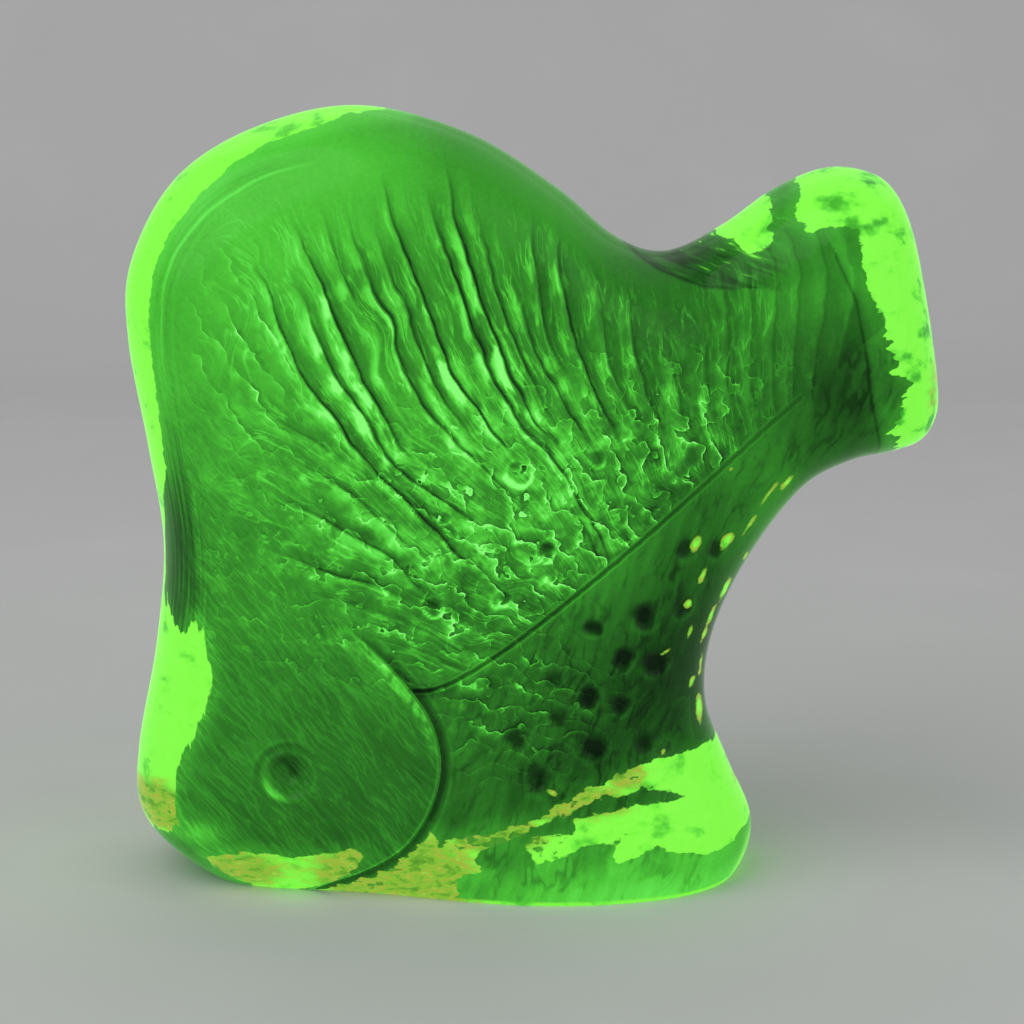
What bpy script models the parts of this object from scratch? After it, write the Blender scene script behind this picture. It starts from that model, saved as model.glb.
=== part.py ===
"""Solid uranium-glass fish figure that stands on its chin and on a flared foot.

Units are metres. +X runs from the head to the tail, -Y is the fish's left side and +Z is up. The
origin is the middle of the overall box, on the surface that the figure stands on.

The figure is one lens-shaped glass mass, the same on both sides. Its joins divide it: the gill line
parts the head from the rest, the lateral line parts the back from the belly, and two more joins part
off the tail and the foot. Each eye is a rimmed disc with a pupil in it, let into the head.
"""

import math

import bmesh
import bpy
import numpy as np
from mathutils import Vector

MM = 0.001

# Overall shape
HALF_THICKNESS = 21 * MM
RIM_WIDTH = 24 * MM  # how far in from the outline the section is rounded
ROUNDNESS = 3.0  # 2 rounds the rim as an ellipse, more makes it blunter
CORE = (-13 * MM, 58 * MM)  # the middle of the flank, which the outline shrinks to ring by ring
GAP = 0.3 * MM  # clearance between neighbouring pieces
WELD = 0.004 * MM  # corners closer than this become one after a cut

# The figure's side outline in x and z, anticlockwise from the tip of the tail. It runs on below the
# standing surface, which cuts it off flat.
OUTLINE_MM = [
    (64.8, 80.2), (62.9, 92.4), (60.0, 105.2), (56.6, 112.0), (52.2, 114.6), (46.0, 114.9),
    (38.2, 111.7), (30.0, 105.9), (21.0, 101.8), (12.9, 104.2), (3.6, 111.9), (-10.5, 120.5),
    (-28.0, 124.8), (-44.4, 121.3), (-57.0, 113.3), (-64.3, 100.2), (-65.0, 88.0), (-62.3, 71.0),
    (-60.2, 55.0), (-61.9, 38.0), (-65.2, 21.0), (-65.0, 10.5), (-57.9, 2.2), (-46.0, -3.6),
    (-25.0, -5.6), (-8.0, -10.0), (6.0, -12.5), (22.0, -9.6), (32.0, -2.5), (36.3, 7.0),
    (32.3, 17.5), (28.4, 28.0), (29.2, 39.5), (34.5, 51.8), (43.2, 63.7), (50.8, 68.2),
    (57.4, 69.8), (62.0, 71.6), (64.4, 75.2),
]

# Where the half thickness swells or narrows: centre x, centre z, spread in x, spread in z, amount
SWELLS_MM = [
    (2.0, 0.0, 28.0, 11.0, 3.8),  # flared foot
    (16.0, 26.0, 26.0, 10.0, -2.0),  # waist above the foot
    (34.0, 82.0, 15.0, 26.0, -5.5),  # neck of the tail
    (66.0, 94.0, 13.0, 34.0, 1.5),  # end of the tail
    (-44.0, 112.0, 30.0, 24.0, -2.0),  # top of the back
]

# The joins in x and z. The gill line comes up round the cheek and runs off along the top of the head.
# The lateral line and the foot join start on it, and the lateral line ends on the tail join.
GILL_MM = [
    (-42.0, -4.0), (-33.5, 1.4), (-25.8, 5.4), (-20.2, 9.6), (-16.4, 15.6), (-14.9, 22.5),
    (-16.3, 29.4), (-20.1, 35.4), (-26.5, 42.5), (-38.0, 52.5), (-52.0, 62.5), (-72.0, 75.0),
]
TAIL_JOIN_MM = [(24.0, 116.0), (36.0, 94.5), (41.2, 80.4), (42.0, 68.0), (38.0, 48.0)]
LATERAL_MM = [
    (-19.6, 34.6), (-13.8, 35.7), (-3.8, 42.0), (10.4, 53.5), (20.9, 62.4), (31.0, 71.0), (41.2, 80.4),
]
FOOT_JOIN_MM = [
    (-21.8, 8.2), (-12.6, 11.0), (-2.0, 14.0), (6.5, 17.2), (16.5, 21.4), (26.0, 22.8), (42.0, 23.5),
]

# Eyes
EYE_MM = (-38.7, 20.8)
EYE_RADIUS = 4.5 * MM
EYE_BORE = 2.4 * MM
EYE_DEPTH = 2.2 * MM
EYE_RIM_HEIGHT = 0.4 * MM
EYE_RIM_STEP = 0.35 * MM  # the rim's profile moves inwards by steps of this
PUPIL_EDGE = 0.25 * MM
PUPIL_DIP = 0.9 * MM
PUPIL_FACE = [(0.9, 0.0), (0.72, 0.15), (0.42, 0.8)]  # shares of the pupil's radius and of its dip

# Mesh fineness
OUTLINE_STEPS = 8
AROUND = 96
RINGS = 9
SEAM_STEPS = 4
EYE_SEGMENTS = 28
SHARP_ANGLE = math.radians(35)
SLOPE_STEP = 0.5 * MM
SMALLEST_SQUARE = 1e-12  # keeps places on the outline from dividing by nothing
PLANE_TOLERANCE = 1e-6

# A point inside each piece that the joins divide the glass mass into
PIECES_MM = {
    "head": (-42.0, 25.0),
    "back": (-15.0, 92.0),
    "belly": (8.0, 34.0),
    "tail": (52.0, 88.0),
    "foot": (8.0, 7.0),
}

COLOURS = {
    "head": (0.055, 0.34, 0.035, 1.0),
    "back": (0.08, 0.45, 0.045, 1.0),
    "belly": (0.03, 0.22, 0.025, 1.0),
    "tail": (0.10, 0.50, 0.05, 1.0),
    "foot": (0.26, 0.85, 0.07, 1.0),
    "eye": (0.05, 0.30, 0.035, 1.0),
    "pupil": (0.02, 0.16, 0.03, 1.0),
}
GLASS_ROUGHNESS = 0.08
GLASS_IOR = 1.52
GLASS_TRANSMISSION = 0.6


def clear_scene():
    for item in list(bpy.data.objects):
        bpy.data.objects.remove(item, do_unlink=True)


def glass(name, colour):
    """A polished green glass."""
    material = bpy.data.materials.new(name)
    material.use_nodes = True
    shader = material.node_tree.nodes["Principled BSDF"]
    shader.inputs["Base Color"].default_value = colour
    shader.inputs["Roughness"].default_value = GLASS_ROUGHNESS
    shader.inputs["Metallic"].default_value = 0.0
    shader.inputs["IOR"].default_value = GLASS_IOR
    shader.inputs["Transmission Weight"].default_value = GLASS_TRANSMISSION
    material.diffuse_color = colour
    return material


def metres(points_mm):
    return np.array(points_mm, dtype=float) * MM


def smooth_line(points, steps, closed=False):
    """Points on the Catmull-Rom curve through the given ones."""
    count = len(points)
    spans = count if closed else count - 1
    line = []
    for i in range(spans):
        if closed:
            a, b, c, d = (points[(i + k) % count] for k in (-1, 0, 1, 2))
        else:
            b, c = points[i], points[i + 1]
            a = points[i - 1] if i > 0 else 2 * b - c
            d = points[i + 2] if i + 2 < count else 2 * c - b
        for t in np.linspace(0, 1, steps, endpoint=False):
            bend = (2 * a - 5 * b + 4 * c - d) * t**2 + (3 * b - a - 3 * c + d) * t**3
            line.append(0.5 * (2 * b + (c - a) * t + bend))
    if not closed:
        line.append(points[-1])
    return np.array(line)


def evenly_spaced(line, count):
    """The closed line as this many points, the same distance apart."""
    ring = np.vstack([line, line[:1]])
    travelled = np.concatenate([[0], np.cumsum(np.linalg.norm(np.diff(ring, axis=0), axis=1))])
    stops = np.linspace(0, travelled[-1], count, endpoint=False)
    return np.column_stack([np.interp(stops, travelled, ring[:, k]) for k in (0, 1)])


def half_thickness(x, z):
    """Half the glass's thickness at the middle of the lens section, before the rim is rounded off."""
    total = np.full(np.shape(x), HALF_THICKNESS)
    for centre_x, centre_z, spread_x, spread_z, amount in metres(SWELLS_MM):
        away = ((x - centre_x) / spread_x) ** 2 + ((z - centre_z) / spread_z) ** 2
        total = total + amount * np.exp(-away)
    return total


def rim_distance(places):
    """How far each place lies inside the outline, as one smooth hill with no ridges.

    Each stretch of the outline adds the integral of 1 / distance**3 along it. Beside a straight
    edge that comes to 2 / distance**2, which this turns back into a distance.
    """
    starts = smooth_line(metres(OUTLINE_MM), OUTLINE_STEPS, closed=True)
    ends = np.roll(starts, -1, axis=0)
    along = (ends - starts) / np.linalg.norm(ends - starts, axis=1)[:, None]
    to_start = starts - np.asarray(places)[:, None]
    to_end = ends - np.asarray(places)[:, None]
    start_run = (to_start * along).sum(axis=2)
    end_run = (to_end * along).sum(axis=2)
    start_reach = np.linalg.norm(to_start, axis=2)
    aside = np.maximum(start_reach**2 - start_run**2, SMALLEST_SQUARE)
    pull = ((end_run / np.linalg.norm(to_end, axis=2) - start_run / start_reach) / aside).sum(axis=1)
    return np.sqrt(2 / pull)


def skin_depths(places):
    """How far the glass reaches to each side at these places of the side view."""
    inward = np.minimum(rim_distance(places) / RIM_WIDTH, 1)
    return half_thickness(places[:, 0], places[:, 1]) * np.sqrt(1 - (1 - inward) ** ROUNDNESS)


def skin_depth(x, z):
    return float(skin_depths(np.array([[x, z]]))[0])


def skin_normal(x, z, side):
    """The direction straight out of the glass's skin there."""
    slope_x = (skin_depth(x + SLOPE_STEP, z) - skin_depth(x - SLOPE_STEP, z)) / (2 * SLOPE_STEP)
    slope_z = (skin_depth(x, z + SLOPE_STEP) - skin_depth(x, z - SLOPE_STEP)) / (2 * SLOPE_STEP)
    return Vector((-slope_x, side, -slope_z)).normalized()


def object_from(bm, name):
    mesh = bpy.data.meshes.new(name)
    bmesh.ops.recalc_face_normals(bm, faces=bm.faces)
    bm.to_mesh(mesh)
    bm.free()
    made = bpy.data.objects.new(name, mesh)
    bpy.context.scene.collection.objects.link(made)
    return made


def glass_mass():
    """The whole figure: rings that shrink from the outline to the core on both sides, cut off flat."""
    bm = bmesh.new()
    outline = evenly_spaced(smooth_line(metres(OUTLINE_MM), OUTLINE_STEPS, closed=True), AROUND)
    core = np.array(CORE)
    rim = [bm.verts.new((x, 0, z)) for x, z in outline]
    for side in (-1, 1):
        outer = rim
        for i in range(1, RINGS):
            share = math.cos(i / RINGS * math.pi / 2) ** (2 / ROUNDNESS)
            places = core + share * (outline - core)
            depths = skin_depths(places)
            inner = [bm.verts.new((x, side * y, z)) for (x, z), y in zip(places, depths)]
            for k in range(AROUND):
                after = (k + 1) % AROUND
                bm.faces.new((outer[k], outer[after], inner[after], inner[k]))
            outer = inner
        middle = bm.verts.new((core[0], side * skin_depth(*core), core[1]))
        for k in range(AROUND):
            bm.faces.new((outer[k], outer[(k + 1) % AROUND], middle))
    everything = bm.verts[:] + bm.edges[:] + bm.faces[:]
    cut = bmesh.ops.bisect_plane(
        bm, geom=everything, dist=PLANE_TOLERANCE,
        plane_co=(0, 0, 0), plane_no=(0, 0, 1), clear_inner=True,
    )
    edges = [item for item in cut["geom_cut"] if isinstance(item, bmesh.types.BMEdge)]
    bmesh.ops.contextual_create(bm, geom=edges)
    bmesh.ops.triangulate(bm, faces=bm.faces)
    return object_from(bm, "glass_mass")


def cutter(made):
    made.hide_render = True
    made.display_type = "WIRE"
    return made


def seam_blade(line):
    """A blade as thick as the gap, standing along the line and wide enough to go through the figure."""
    reach = 2 * HALF_THICKNESS
    ahead = np.gradient(line, axis=0)
    ahead /= np.linalg.norm(ahead, axis=1)[:, None]
    across = np.column_stack([-ahead[:, 1], ahead[:, 0]]) * GAP / 2
    border = np.vstack([line + across, (line - across)[::-1]])
    bm = bmesh.new()
    near = [bm.verts.new((x, -reach, z)) for x, z in border]
    face = bm.faces.new(near)
    grown = bmesh.ops.extrude_face_region(bm, geom=[face])
    far = [item for item in grown["geom"] if isinstance(item, bmesh.types.BMVert)]
    bmesh.ops.translate(bm, verts=far, vec=(0, 2 * reach, 0))
    return cutter(object_from(bm, "seam_blade"))


def carve(target, tool):
    """The target with the tool's space taken out of it, for good."""
    cut = target.modifiers.new("cut", "BOOLEAN")
    cut.operation = "DIFFERENCE"
    cut.solver = "MANIFOLD"  # the exact solver loses pieces where one seam ends in another
    cut.object = tool
    result = bpy.data.meshes.new_from_object(target.evaluated_get(bpy.context.evaluated_depsgraph_get()))
    target.modifiers.remove(cut)
    bpy.data.objects.remove(tool, do_unlink=True)
    bm = bmesh.new()
    bm.from_mesh(result)
    bmesh.ops.remove_doubles(bm, verts=bm.verts, dist=WELD)
    bmesh.ops.dissolve_degenerate(bm, edges=bm.edges, dist=WELD)
    bmesh.ops.triangulate(bm, faces=bm.faces)
    bm.to_mesh(result)
    bm.free()
    target.data = result


def loose_parts(whole):
    """Each separate body of an object as an object of its own."""
    bpy.context.view_layer.update()
    whole.select_set(True)
    bpy.context.view_layer.objects.active = whole
    bpy.ops.mesh.separate(type="LOOSE")
    return list(bpy.context.selected_objects)


def middle_of(part):
    corners = np.array([tuple(v.co) for v in part.data.vertices])
    return (corners.min(axis=0) + corners.max(axis=0))[[0, 2]] / 2


def divide(whole):
    """The glass mass cut along its joins, as named pieces."""
    for points in (GILL_MM, TAIL_JOIN_MM, LATERAL_MM, FOOT_JOIN_MM):
        carve(whole, seam_blade(smooth_line(metres(points), SEAM_STEPS)))
    pieces = {}
    for part in loose_parts(whole):
        name = min(PIECES_MM, key=lambda n: np.linalg.norm(middle_of(part) - metres(PIECES_MM[n])))
        part.name = name
        part.data.name = name
        pieces[name] = part
    return pieces


def turned(name, profile, bottom=None, top=None):
    """A body of revolution about Z. The profile is a list of radius and height, from the bottom up."""
    bm = bmesh.new()
    rings = []
    for radius, height in profile:
        turns = [2 * math.pi * k / EYE_SEGMENTS for k in range(EYE_SEGMENTS)]
        rings.append([bm.verts.new((radius * math.cos(a), radius * math.sin(a), height)) for a in turns])
    closed = bottom is None
    pairs = list(zip(rings, rings[1:] + rings[:1])) if closed else list(zip(rings, rings[1:]))
    for low, high in pairs:
        for k in range(EYE_SEGMENTS):
            after = (k + 1) % EYE_SEGMENTS
            bm.faces.new((low[k], low[after], high[after], high[k]))
    for ring, height in ((rings[0], bottom), (rings[-1], top)):
        if height is not None:
            tip = bm.verts.new((0, 0, height))
            for k in range(EYE_SEGMENTS):
                bm.faces.new((ring[k], ring[(k + 1) % EYE_SEGMENTS], tip))
    return object_from(bm, name)


def on_skin(made, side):
    """Puts a turned body on the cheek, with its Z axis straight out of the glass."""
    x, z = metres(EYE_MM)
    normal = skin_normal(x, z, side)
    made.location = (x, side * skin_depth(x, z), z)
    made.rotation_mode = "QUATERNION"
    made.rotation_quaternion = normal.to_track_quat("Z", "Y")
    bpy.context.view_layer.update()
    return made


def eye_seat(side):
    seat = turned("eye_seat", [
        (EYE_RADIUS + GAP, -EYE_DEPTH - GAP),
        (EYE_RADIUS + GAP, EYE_DEPTH),
    ], bottom=-EYE_DEPTH - GAP, top=EYE_DEPTH)
    return cutter(on_skin(seat, side))


def eye(name, side):
    """A disc with a raised rim and a bore for the pupil."""
    step = EYE_RIM_STEP
    made = turned(name, [
        (EYE_BORE, -EYE_DEPTH),
        (EYE_RADIUS, -EYE_DEPTH),
        (EYE_RADIUS, 0),
        (EYE_RADIUS - step / 2, EYE_RIM_HEIGHT - step / 2),
        (EYE_RADIUS - 1.5 * step, EYE_RIM_HEIGHT),
        (EYE_RADIUS - 3 * step, EYE_RIM_HEIGHT / 2),
        (EYE_BORE + 2 * step, 0),
        (EYE_BORE + step / 2, 0),
        (EYE_BORE, -step / 2),
    ])
    return on_skin(made, side)


def pupil(name, side):
    """A small button with a dished face."""
    radius = EYE_BORE - GAP
    profile = [(radius, -EYE_DEPTH), (radius, -PUPIL_EDGE)]
    profile += [(share * radius, -dip * PUPIL_DIP) for share, dip in PUPIL_FACE]
    return on_skin(turned(name, profile, bottom=-EYE_DEPTH, top=-PUPIL_DIP), side)


def main():
    clear_scene()
    pieces = divide(glass_mass())
    for word, side in (("left", -1), ("right", 1)):
        carve(pieces["head"], eye_seat(side))
        pieces[f"eye_{word}"] = eye(f"eye_{word}", side)
        pieces[f"pupil_{word}"] = pupil(f"pupil_{word}", side)
    for name, made in pieces.items():
        colour = COLOURS[name.split("_")[0]]
        made.data.materials.clear()
        made.data.materials.append(glass(f"{name}_glass", colour))
        made.data.shade_smooth()
        made.data.set_sharp_from_angle(angle=SHARP_ANGLE)


main()
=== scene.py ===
"""The looks of the uranium-glass fish figure: its masses of glass, finely modelled, and their finish.

Lengths are in millimetres wherever the shape, relief and colour of the glass are worked out, and in
metres where objects are placed. The shape formulas repeat those of the CAD model.
"""

import math

import bmesh
import bpy
import numpy as np
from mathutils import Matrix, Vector


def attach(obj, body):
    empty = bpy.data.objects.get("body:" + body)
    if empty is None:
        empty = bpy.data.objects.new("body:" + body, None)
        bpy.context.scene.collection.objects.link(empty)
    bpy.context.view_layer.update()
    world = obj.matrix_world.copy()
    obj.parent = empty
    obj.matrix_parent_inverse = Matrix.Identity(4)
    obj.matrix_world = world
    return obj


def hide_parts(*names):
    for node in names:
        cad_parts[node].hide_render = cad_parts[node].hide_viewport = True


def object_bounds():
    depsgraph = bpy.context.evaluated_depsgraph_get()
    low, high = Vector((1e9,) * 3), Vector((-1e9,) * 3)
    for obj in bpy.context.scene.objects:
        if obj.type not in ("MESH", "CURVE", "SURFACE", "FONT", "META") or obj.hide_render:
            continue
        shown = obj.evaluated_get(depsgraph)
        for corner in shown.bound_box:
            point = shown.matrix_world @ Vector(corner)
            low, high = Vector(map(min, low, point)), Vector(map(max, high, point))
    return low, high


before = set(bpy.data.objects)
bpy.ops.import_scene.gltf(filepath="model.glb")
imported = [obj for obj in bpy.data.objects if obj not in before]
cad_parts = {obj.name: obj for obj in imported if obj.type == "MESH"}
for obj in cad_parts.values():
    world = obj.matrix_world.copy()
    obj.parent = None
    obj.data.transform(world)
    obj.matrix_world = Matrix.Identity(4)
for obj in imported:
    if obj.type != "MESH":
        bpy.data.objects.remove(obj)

CAD_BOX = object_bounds()
MM = 0.001

# Fineness of the modelling
VOXEL_MM = 0.38
AROUND = 480
RINGS = 44
OUTLINE_STEPS = 8
SEAM_STEPS = 8
EYE_SEGMENTS = 96
PROFILE_STEPS = 18
SOFTENING = (0.5, 6)  # share and rounds of the smoothing after the mesh is made even
SHARP_DEGREES = 55
SNUG = 0.9995  # share of the CAD model's box that is filled
CHUNK = 8000
NOISE_CELLS = 256
FAR_MM = 1e9
WELD_M = 1e-6
OTHER_SIDE = 41.7  # sets the noise of the fish's right side apart from that of its left

# Overall shape, as in the CAD model
HALF_THICKNESS_MM = 21.0
RIM_WIDTH_MM = 24.0
ROUNDNESS = 3.0
CORE_MM = np.array([-13.0, 58.0])
OUTLINE_MM = np.array([
    (64.8, 80.2), (62.9, 92.4), (60.0, 105.2), (56.6, 112.0), (52.2, 114.6), (46.0, 114.9),
    (38.2, 111.7), (30.0, 105.9), (21.0, 101.8), (12.9, 104.2), (3.6, 111.9), (-10.5, 120.5),
    (-28.0, 124.8), (-44.4, 121.3), (-57.0, 113.3), (-64.3, 100.2), (-65.0, 88.0), (-62.3, 71.0),
    (-60.2, 55.0), (-61.9, 38.0), (-65.2, 21.0), (-65.0, 10.5), (-57.9, 2.2), (-46.0, -3.6),
    (-25.0, -5.6), (-8.0, -10.0), (6.0, -12.5), (22.0, -9.6), (32.0, -2.5), (36.3, 7.0),
    (32.3, 17.5), (28.4, 28.0), (29.2, 39.5), (34.5, 51.8), (43.2, 63.7), (50.8, 68.2),
    (57.4, 69.8), (62.0, 71.6), (64.4, 75.2),
])
SWELLS_MM = [
    (2.0, 0.0, 28.0, 11.0, 3.8),  # flared foot
    (16.0, 26.0, 26.0, 10.0, -2.0),  # waist above the foot
    (34.0, 82.0, 15.0, 26.0, -5.5),  # neck of the tail
    (66.0, 94.0, 13.0, 34.0, 1.5),  # end of the tail
    (-44.0, 112.0, 30.0, 24.0, -2.0),  # top of the back
]

# Joins, as in the CAD model. The two that show in the glass are open by the gaps listed for them, from
# the start of the join to its end, and the rest are hairlines.
GILL_MM = np.array([
    (-42.0, -4.0), (-33.5, 1.4), (-25.8, 5.4), (-20.2, 9.6), (-16.4, 15.6), (-14.9, 22.5),
    (-16.3, 29.4), (-20.1, 35.4), (-26.5, 42.5), (-38.0, 52.5), (-52.0, 62.5), (-72.0, 75.0),
])
TAIL_JOIN_MM = np.array([(24.0, 116.0), (36.0, 94.5), (41.2, 80.4), (42.0, 68.0), (38.0, 48.0)])
LATERAL_MM = np.array([
    (-19.6, 34.6), (-13.8, 35.7), (-3.8, 42.0), (10.4, 53.5), (20.9, 62.4), (31.0, 71.0), (41.2, 80.4),
])
FOOT_JOIN_MM = np.array([
    (-21.8, 8.2), (-12.6, 11.0), (-2.0, 14.0), (6.5, 17.2), (16.5, 21.4), (26.0, 22.8), (42.0, 23.5),
])
GILL_GAPS_MM = [0.1, 0.25, 0.3, 0.3, 0.3, 0.3, 0.3, 0.3, 0.15, 0.02, 0.02, 0.02]
LATERAL_GAPS_MM = [0.2, 0.2, 0.16, 0.12, 0.08, 0.05, 0.03]
HAIRLINE_MM = 0.02
PIECES_MM = {  # the middle of each, in x and z
    "head": (-42.0, 25.0),
    "back": (-15.0, 92.0),
    "belly": (8.0, 34.0),
    "tail": (52.0, 88.0),
    "foot": (8.0, 7.0),
}

# Eyes
EYE_MM = (-38.7, 20.8)
EYE_RADIUS_MM = 4.5
EYE_DEPTH_MM = 2.2
EYE_BORE_MM = 2.4
EYE_GAP_MM = 0.08
EYE_RIM_MM = 3.9  # radius of the raised ring
EYE_RIM_HEIGHT_MM = 0.30
EYE_BOWL_MM = 0.42
EYE_PROUD_MM = 0.05
PUPIL_GAP_MM = 0.12
PUPIL_FACE_MM = -0.37
PUPIL_DIMPLE_MM = 0.75

# Grooves between the ridges of the flank: how deep, then points from the outer end to the inner one.
# They fan out from below the tail. Beyond the first and the last, ridges follow at an even pitch.
FAN_FOCUS_MM = (41.0, 22.0)
FAN_REACH_MM = 160.0
RIDGE_PITCH = 3.0  # degrees
NEAREST_RIDGES = 1.8  # degrees
MORE_RIDGES = 6  # on each side of the listed ones
FAINT_RIDGE = 0.16
FAINT_FADE_MM = (95, 80)  # from the focus
OUTER_FADE_MM = (4, -12)  # past a groove's outer end
INNER_FADE_MM = (-5, 6)  # past its inner end
GROOVE_HOLD_MM = 9  # past an end, where the groove stops holding its own angle
EVENNESS = 0.05
SLIGHT = 0.001
GROOVES_MM = [
    (0.6, [(-42.5, 58.0), (-34.0, 54.5), (-22.0, 50.5)]),
    (0.6, [(-38.0, 65.5), (-29.5, 60.5), (-23.0, 56.5), (-16.5, 49.5)]),
    (0.5, [(-37.0, 71.5), (-27.0, 65.3), (-20.0, 59.0)]),
    (0.4, [(-43.0, 79.0), (-36.0, 75.4), (-31.0, 72.3)]),
    (0.9, [(-42.2, 100.8), (-36.0, 86.6), (-23.2, 65.7), (-11.0, 55.0)]),
    (0.8, [(-36.3, 96.7), (-31.0, 86.0), (-20.8, 70.3), (-10.0, 62.9)]),
    (1.0, [(-35.8, 106.5), (-30.2, 92.2), (-26.8, 83.8), (-21.5, 73.8)]),
    (0.5, [(-31.5, 108.8), (-30.0, 102.8), (-26.7, 95.3)]),
    (0.8, [(-27.8, 106.8), (-22.9, 92.2), (-17.7, 80.8), (-5.4, 66.8)]),
    (0.7, [(-23.5, 103.5), (-18.5, 90.0), (-12.0, 76.0)]),
    (1.0, [(-23.0, 112.5), (-18.2, 99.6), (-13.0, 86.6), (-4.4, 73.1)]),
    (0.6, [(3.8, 67.9), (6.5, 61.0), (10.0, 53.5)]),
    (1.0, [(-18.7, 108.0), (-10.5, 87.2), (1.5, 71.5), (10.5, 57.0)]),
    (1.0, [(-15.1, 113.9), (-10.7, 96.8), (-4.7, 84.6), (2.7, 73.1)]),
    (0.7, [(-11.0, 106.5), (-6.9, 95.3), (-3.9, 88.5), (0.7, 79.3)]),
    (0.8, [(-2.8, 97.5), (0.7, 86.6), (3.7, 81.9), (7.1, 73.3)]),
    (0.5, [(-0.8, 110.7), (0.3, 96.0), (3.2, 85.1)]),
    (0.7, [(3.5, 107.6), (4.5, 94.5), (9.1, 81.5), (13.0, 74.0)]),
    (0.3, [(9.5, 100.0), (11.0, 88.0), (15.0, 78.0)]),
    (0.4, [(14.0, 98.0), (16.5, 82.0), (19.5, 75.5)]),
    (0.25, [(20.0, 94.0), (21.5, 84.0), (23.5, 76.0)]),
    (0.2, [(26.0, 92.0), (27.0, 82.0), (28.5, 77.0)]),
]
RIDGE_HEIGHT_MM = 0.42

# Where the glass glows lime, in painted light: how ragged the border is in mm, then an outline in x and
# z, which may run on past the rim
BRIGHT_PATCHES_MM = {
    "back strip": (0.45, [
        (-20.0, 124.4), (-28.9, 123.6), (-36.8, 120.8), (-41.6, 119.1), (-47.0, 115.8),
        (-51.7, 111.3), (-56.5, 105.3), (-59.0, 99.2), (-59.8, 92.0), (-59.2, 84.3), (-58.4, 75.3),
        (-57.8, 69.0), (-58.8, 64.0), (-59.1, 55.0), (-59.6, 47.0), (-70.0, 47.0), (-72.0, 100.0),
        (-58.0, 124.0), (-20.0, 132.0),
    ]),
    "head patch": (1.3, [
        (-60.0, 50.0), (-58.2, 45.0), (-56.0, 42.5), (-53.0, 45.6), (-51.3, 41.4), (-50.8, 37.0),
        (-51.2, 32.8), (-54.2, 26.1), (-57.4, 19.7), (-57.6, 12.5), (-58.2, 9.6), (-61.4, 9.4),
        (-70.0, 7.0), (-70.0, 50.0),
    ]),
    "chin": (0.7, [
        (-53.1, 5.7), (-49.6, 6.9), (-46.0, 7.8), (-41.9, 7.4), (-38.5, 6.9), (-35.0, 7.7),
        (-31.5, 8.2), (-28.4, 8.8), (-27.0, 7.4), (-29.4, 4.2), (-34.1, 1.2), (-39.4, -0.4),
        (-43.5, -0.3), (-48.2, 1.4), (-51.1, 3.2),
    ]),
    "foot vein": (1.1, [
        (-38.0, -1.0), (-26.3, 3.5), (-23.0, 5.6), (-20.0, 8.0), (-17.4, 10.4), (-16.3, 12.4),
        (-14.9, 9.6), (-12.6, 10.6), (-9.8, 11.2), (-6.6, 12.0), (-2.9, 13.2), (-0.1, 13.6),
        (2.6, 15.4), (5.9, 16.7), (8.2, 18.7), (11.0, 19.2), (13.3, 20.6), (17.1, 21.7), (19.5, 22.6),
        (19.5, 18.4), (11.0, 17.3), (6.3, 15.2), (1.7, 13.4), (-1.1, 12.1), (-4.3, 10.4),
        (-8.6, 9.4), (-9.8, 7.3), (-8.2, 6.0), (-12.6, 4.2), (-12.0, 1.5), (-14.0, -2.0),
    ]),
    "foot sheet": (0.8, [
        (17.5, 18.6), (18.9, 23.0), (22.3, 22.6), (25.3, 23.0), (30.5, 22.8), (40.0, 21.0),
        (40.0, 9.5), (33.8, 8.8), (31.5, 7.6), (27.6, 6.9), (22.7, 8.0), (19.4, 9.3), (14.7, 7.2),
        (13.0, 6.6), (12.6, 8.4), (13.7, 10.6), (8.6, 9.8), (4.0, 8.0), (0.0, 7.2), (-1.5, 10.1),
        (-0.1, 11.4), (5.9, 11.6), (6.3, 13.8), (11.0, 14.8), (15.6, 15.8), (20.3, 15.9),
        (23.8, 16.4), (20.0, 18.0),
    ]),
    "tail end": (1.2, [
        (41.5, 120.0), (41.2, 110.8), (39.5, 108.2), (42.4, 105.9), (45.2, 106.9), (49.4, 106.6),
        (50.2, 100.6), (52.0, 95.8), (54.6, 89.9), (55.6, 86.0), (58.2, 82.3), (55.9, 77.8),
        (56.9, 72.0), (57.0, 62.0), (78.0, 62.0), (78.0, 122.0),
    ]),
    "tail root": (1.1, [
        (36.8, 116.0), (37.0, 110.7), (36.3, 107.3), (36.8, 104.0), (33.2, 102.1), (31.0, 104.2),
        (28.6, 105.0), (29.0, 112.0),
    ]),
}

# Where the painted lime light turns to mottled gold: centre x, centre z, spreads in x and z, amount
GOLD_ZONES_MM = [
    (-60.5, 14.0, 7.0, 4.6, 1.0),  # snout
    (-47.0, 4.0, 9.0, 5.0, 0.75),  # chin
    (-22.0, 4.0, 15.0, 9.0, 1.0),  # vein of the foot
    (-6.0, 11.5, 9.0, 3.4, 0.95),
    (4.0, 16.5, 13.0, 3.4, 0.9),
    (14.5, 20.5, 4.0, 2.6, 0.8),
    (35.0, 15.5, 2.4, 1.6, 0.8),
    (63.0, 81.5, 3.0, 6.5, 0.45),  # duller part of the tail's end
]
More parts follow.
